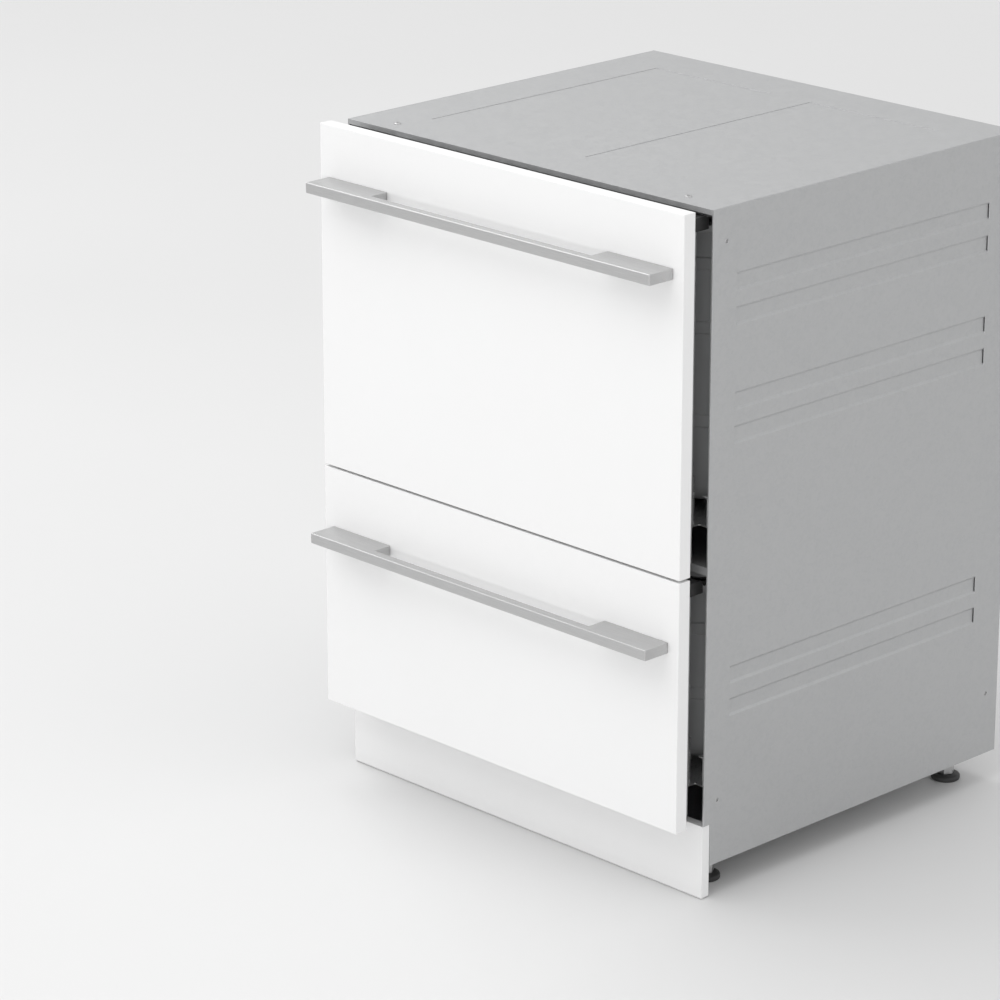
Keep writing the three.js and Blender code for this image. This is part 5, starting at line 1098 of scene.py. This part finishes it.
def make_connections():
    """A cable gland, a threaded inlet and a barbed drain inside the outlet block's three holes."""
    throat = [(7.9, -13.8), (7.9, -1.8), (7, -0.4), (5.6, 0), (4.6, -0.6), (3.6, -4), (3.6, -13.8)]
    gland = outlet_ring(GLAND_X, throat, 40)
    finger = Shape().block((3.4, -8, -0.8), (6, -1.4, 0.8), 0.3, 1)
    gland.around(finger, 12, (GLAND_X, OUTLET_Y, OUTLET_Z), axis="Y")
    gland.make("cable_gland", DARK, "chassis", "dark_plastic")
    collar = [(6, -13.8), (6, -1.2), (6.6, -0.4), (8, -0.4)]
    thread = [*collar, *ribs(6, -1.8, [(8.8, -1.6), (8, -2.4)]), (8, -13.8)]
    outlet_ring(INLET_X, thread, 40).make("inlet_thread", BRASS, "chassis", "runner_steel")
    disc = [(0.4, -8.6), (5.9, -8.6), (5.9, -10), (0.4, -10)]
    screen = Shape().lathe(disc, (INLET_X, OUTLET_Y, OUTLET_Z), 32, axis="Y")
    for i in range(-2, 3):
        offset, half = i * 1.9, 5.6 * math.sqrt(1 - (i / 3.2) ** 2)
        screen.pad((INLET_X, OUTLET_Y - 8.3, OUTLET_Z + offset), half, 0.5, -0.3, 0.3)
        screen.pad((INLET_X + offset, OUTLET_Y - 8.3, OUTLET_Z), 0.3, 0.5, -half, half)
    screen.make("inlet_screen", GREY, "chassis", "dark_plastic")
    barbs = [(7, -13.8), (7, -0.6), (7.4, -0.1), (7.9, -0.4), (9, -3.4), (8.2, -3.6), (9.2, -7)]
    barbs += [(8.4, -7.2), (9.4, -10.6), (8.6, -11), (8.6, -13.8)]
    outlet_ring(DRAIN_X, barbs, 44).make("drain_spigot", GREY, "chassis", "dark_plastic")


def dress_chassis():
    for name in ("left", "right", "top", "back", "base", "cross_rail"):
        dress(f"chassis_{name}", SHEET, 0.5)
    dress("service_duct", DARK, 1.2, 3)
    make_screws()
    for name in ("front_left", "front_right", "rear_left", "rear_right"):
        low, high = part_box(f"foot_{name}")
        make_foot(name, *((low + high) / 2 * METRE).xy)
    make_connections()


def dress_drawer(drawer):
    for part, *finish in (
        ("fixed_runner_left", RUNNER, 0.5), ("fixed_runner_right", RUNNER, 0.5),
        ("middle_runner_left", RUNNER, 0.4), ("middle_runner_right", RUNNER, 0.4),
        ("cradle", RUNNER, 0.5), ("door_frame", SHEET, 0.5), ("control_strip", CONTROL, 0.8, 3),
        ("lid", LID, 0.7), ("lid_actuator", MOTOR, 1.2, 3),
    ):
        dress(f"{drawer.name}_{part}", *finish)
    for build in (
        make_tub, make_spray_arm, make_filter_plate, make_drain_filter, make_motor, make_rack,
        make_fold_tines, make_lid_seal, make_hose, make_controls, dress_dispenser,
    ):
        build(drawer)


# ---- camera, light and floor

CAMERA_PLACE = Vector((3.391, -3.562, 2.034))
CAMERA_AZIMUTH = 45.76  # degrees, from looking along +Y round towards -X
CAMERA_PITCH = 18.74  # degrees below the horizon
CAMERA_LENS = 153.25
SENSOR = 36.0


def set_up(holder, place, direction):
    """Stands a camera or a light at a place and turns it to look along a direction."""
    holder.location = place
    holder.rotation_mode = "QUATERNION"
    holder.rotation_quaternion = direction.to_track_quat("-Z", "Y")
    bpy.context.scene.collection.objects.link(holder)


def make_camera():
    azimuth, pitch = math.radians(CAMERA_AZIMUTH), math.radians(CAMERA_PITCH)
    flat = math.cos(pitch)
    direction = Vector((-math.sin(azimuth) * flat, math.cos(azimuth) * flat, -math.sin(pitch)))
    data = bpy.data.cameras.new("photo_camera")
    data.lens = CAMERA_LENS
    data.sensor_width = SENSOR
    data.clip_end = 60
    camera = bpy.data.objects.new("photo_camera", data)
    set_up(camera, CAMERA_PLACE, direction)
    bpy.context.scene.camera = camera


def soft_box(name, place, target, size, power, spread=180):
    """A large light that faces a point. A narrow spread keeps it off the floor beside it."""
    data = bpy.data.lights.new(name, "AREA")
    data.shape = "RECTANGLE"
    data.size, data.size_y = size
    data.energy = power
    data.spread = math.radians(spread)
    light = bpy.data.objects.new(name, data)
    light.visible_camera = False
    set_up(light, place, Vector(target) - Vector(place))


def make_studio():
    world = bpy.data.worlds.new("studio")
    world.use_nodes = True
    background = world.node_tree.nodes["Background"]
    background.inputs["Color"].default_value = (1, 1, 1, 1)
    background.inputs["Strength"].default_value = 0.78
    bpy.context.scene.world = world
    bpy.context.scene.view_settings.view_transform = "Standard"
    soft_box("left", (-3.0, -2.0, 3.4), (0, 0, 0.6), (2.2, 2.2), 26)
    soft_box("front", (2.3, -6.4, 1.0), (0, 0, 0.5), (3.6, 0.8), 11.6, spread=70)
    soft_box("top", (0.2, -2.0, 3.9), (0, 0, 0.2), (3.0, 3.0), 44)
    soft_box("crown", (-3.2, 0.3, 4.2), (0, -0.2, 0.7), (2.4, 2.4), 52)
    soft_box("side", (4.2, 0.6, 1.9), (0, 0, 0.4), (2.2, 2.2), 13)


def make_floor():
    """A flat floor that reaches as far as any view."""
    reach = 40.0
    points = [(-reach, -reach, 0), (reach, -reach, 0), (reach, reach, 0), (-reach, reach, 0)]
    mesh = bpy.data.meshes.new("floor")
    mesh.from_pydata(points, [], [[0, 1, 2, 3]])
    finish_mesh("floor", mesh, floor_finish(), None, even=False)


make_camera()
make_studio()
make_floor()
dress_front()
dress_chassis()
for drawer in DRAWERS:
    dress_drawer(drawer)
make_cup_rack()
dress_basket()
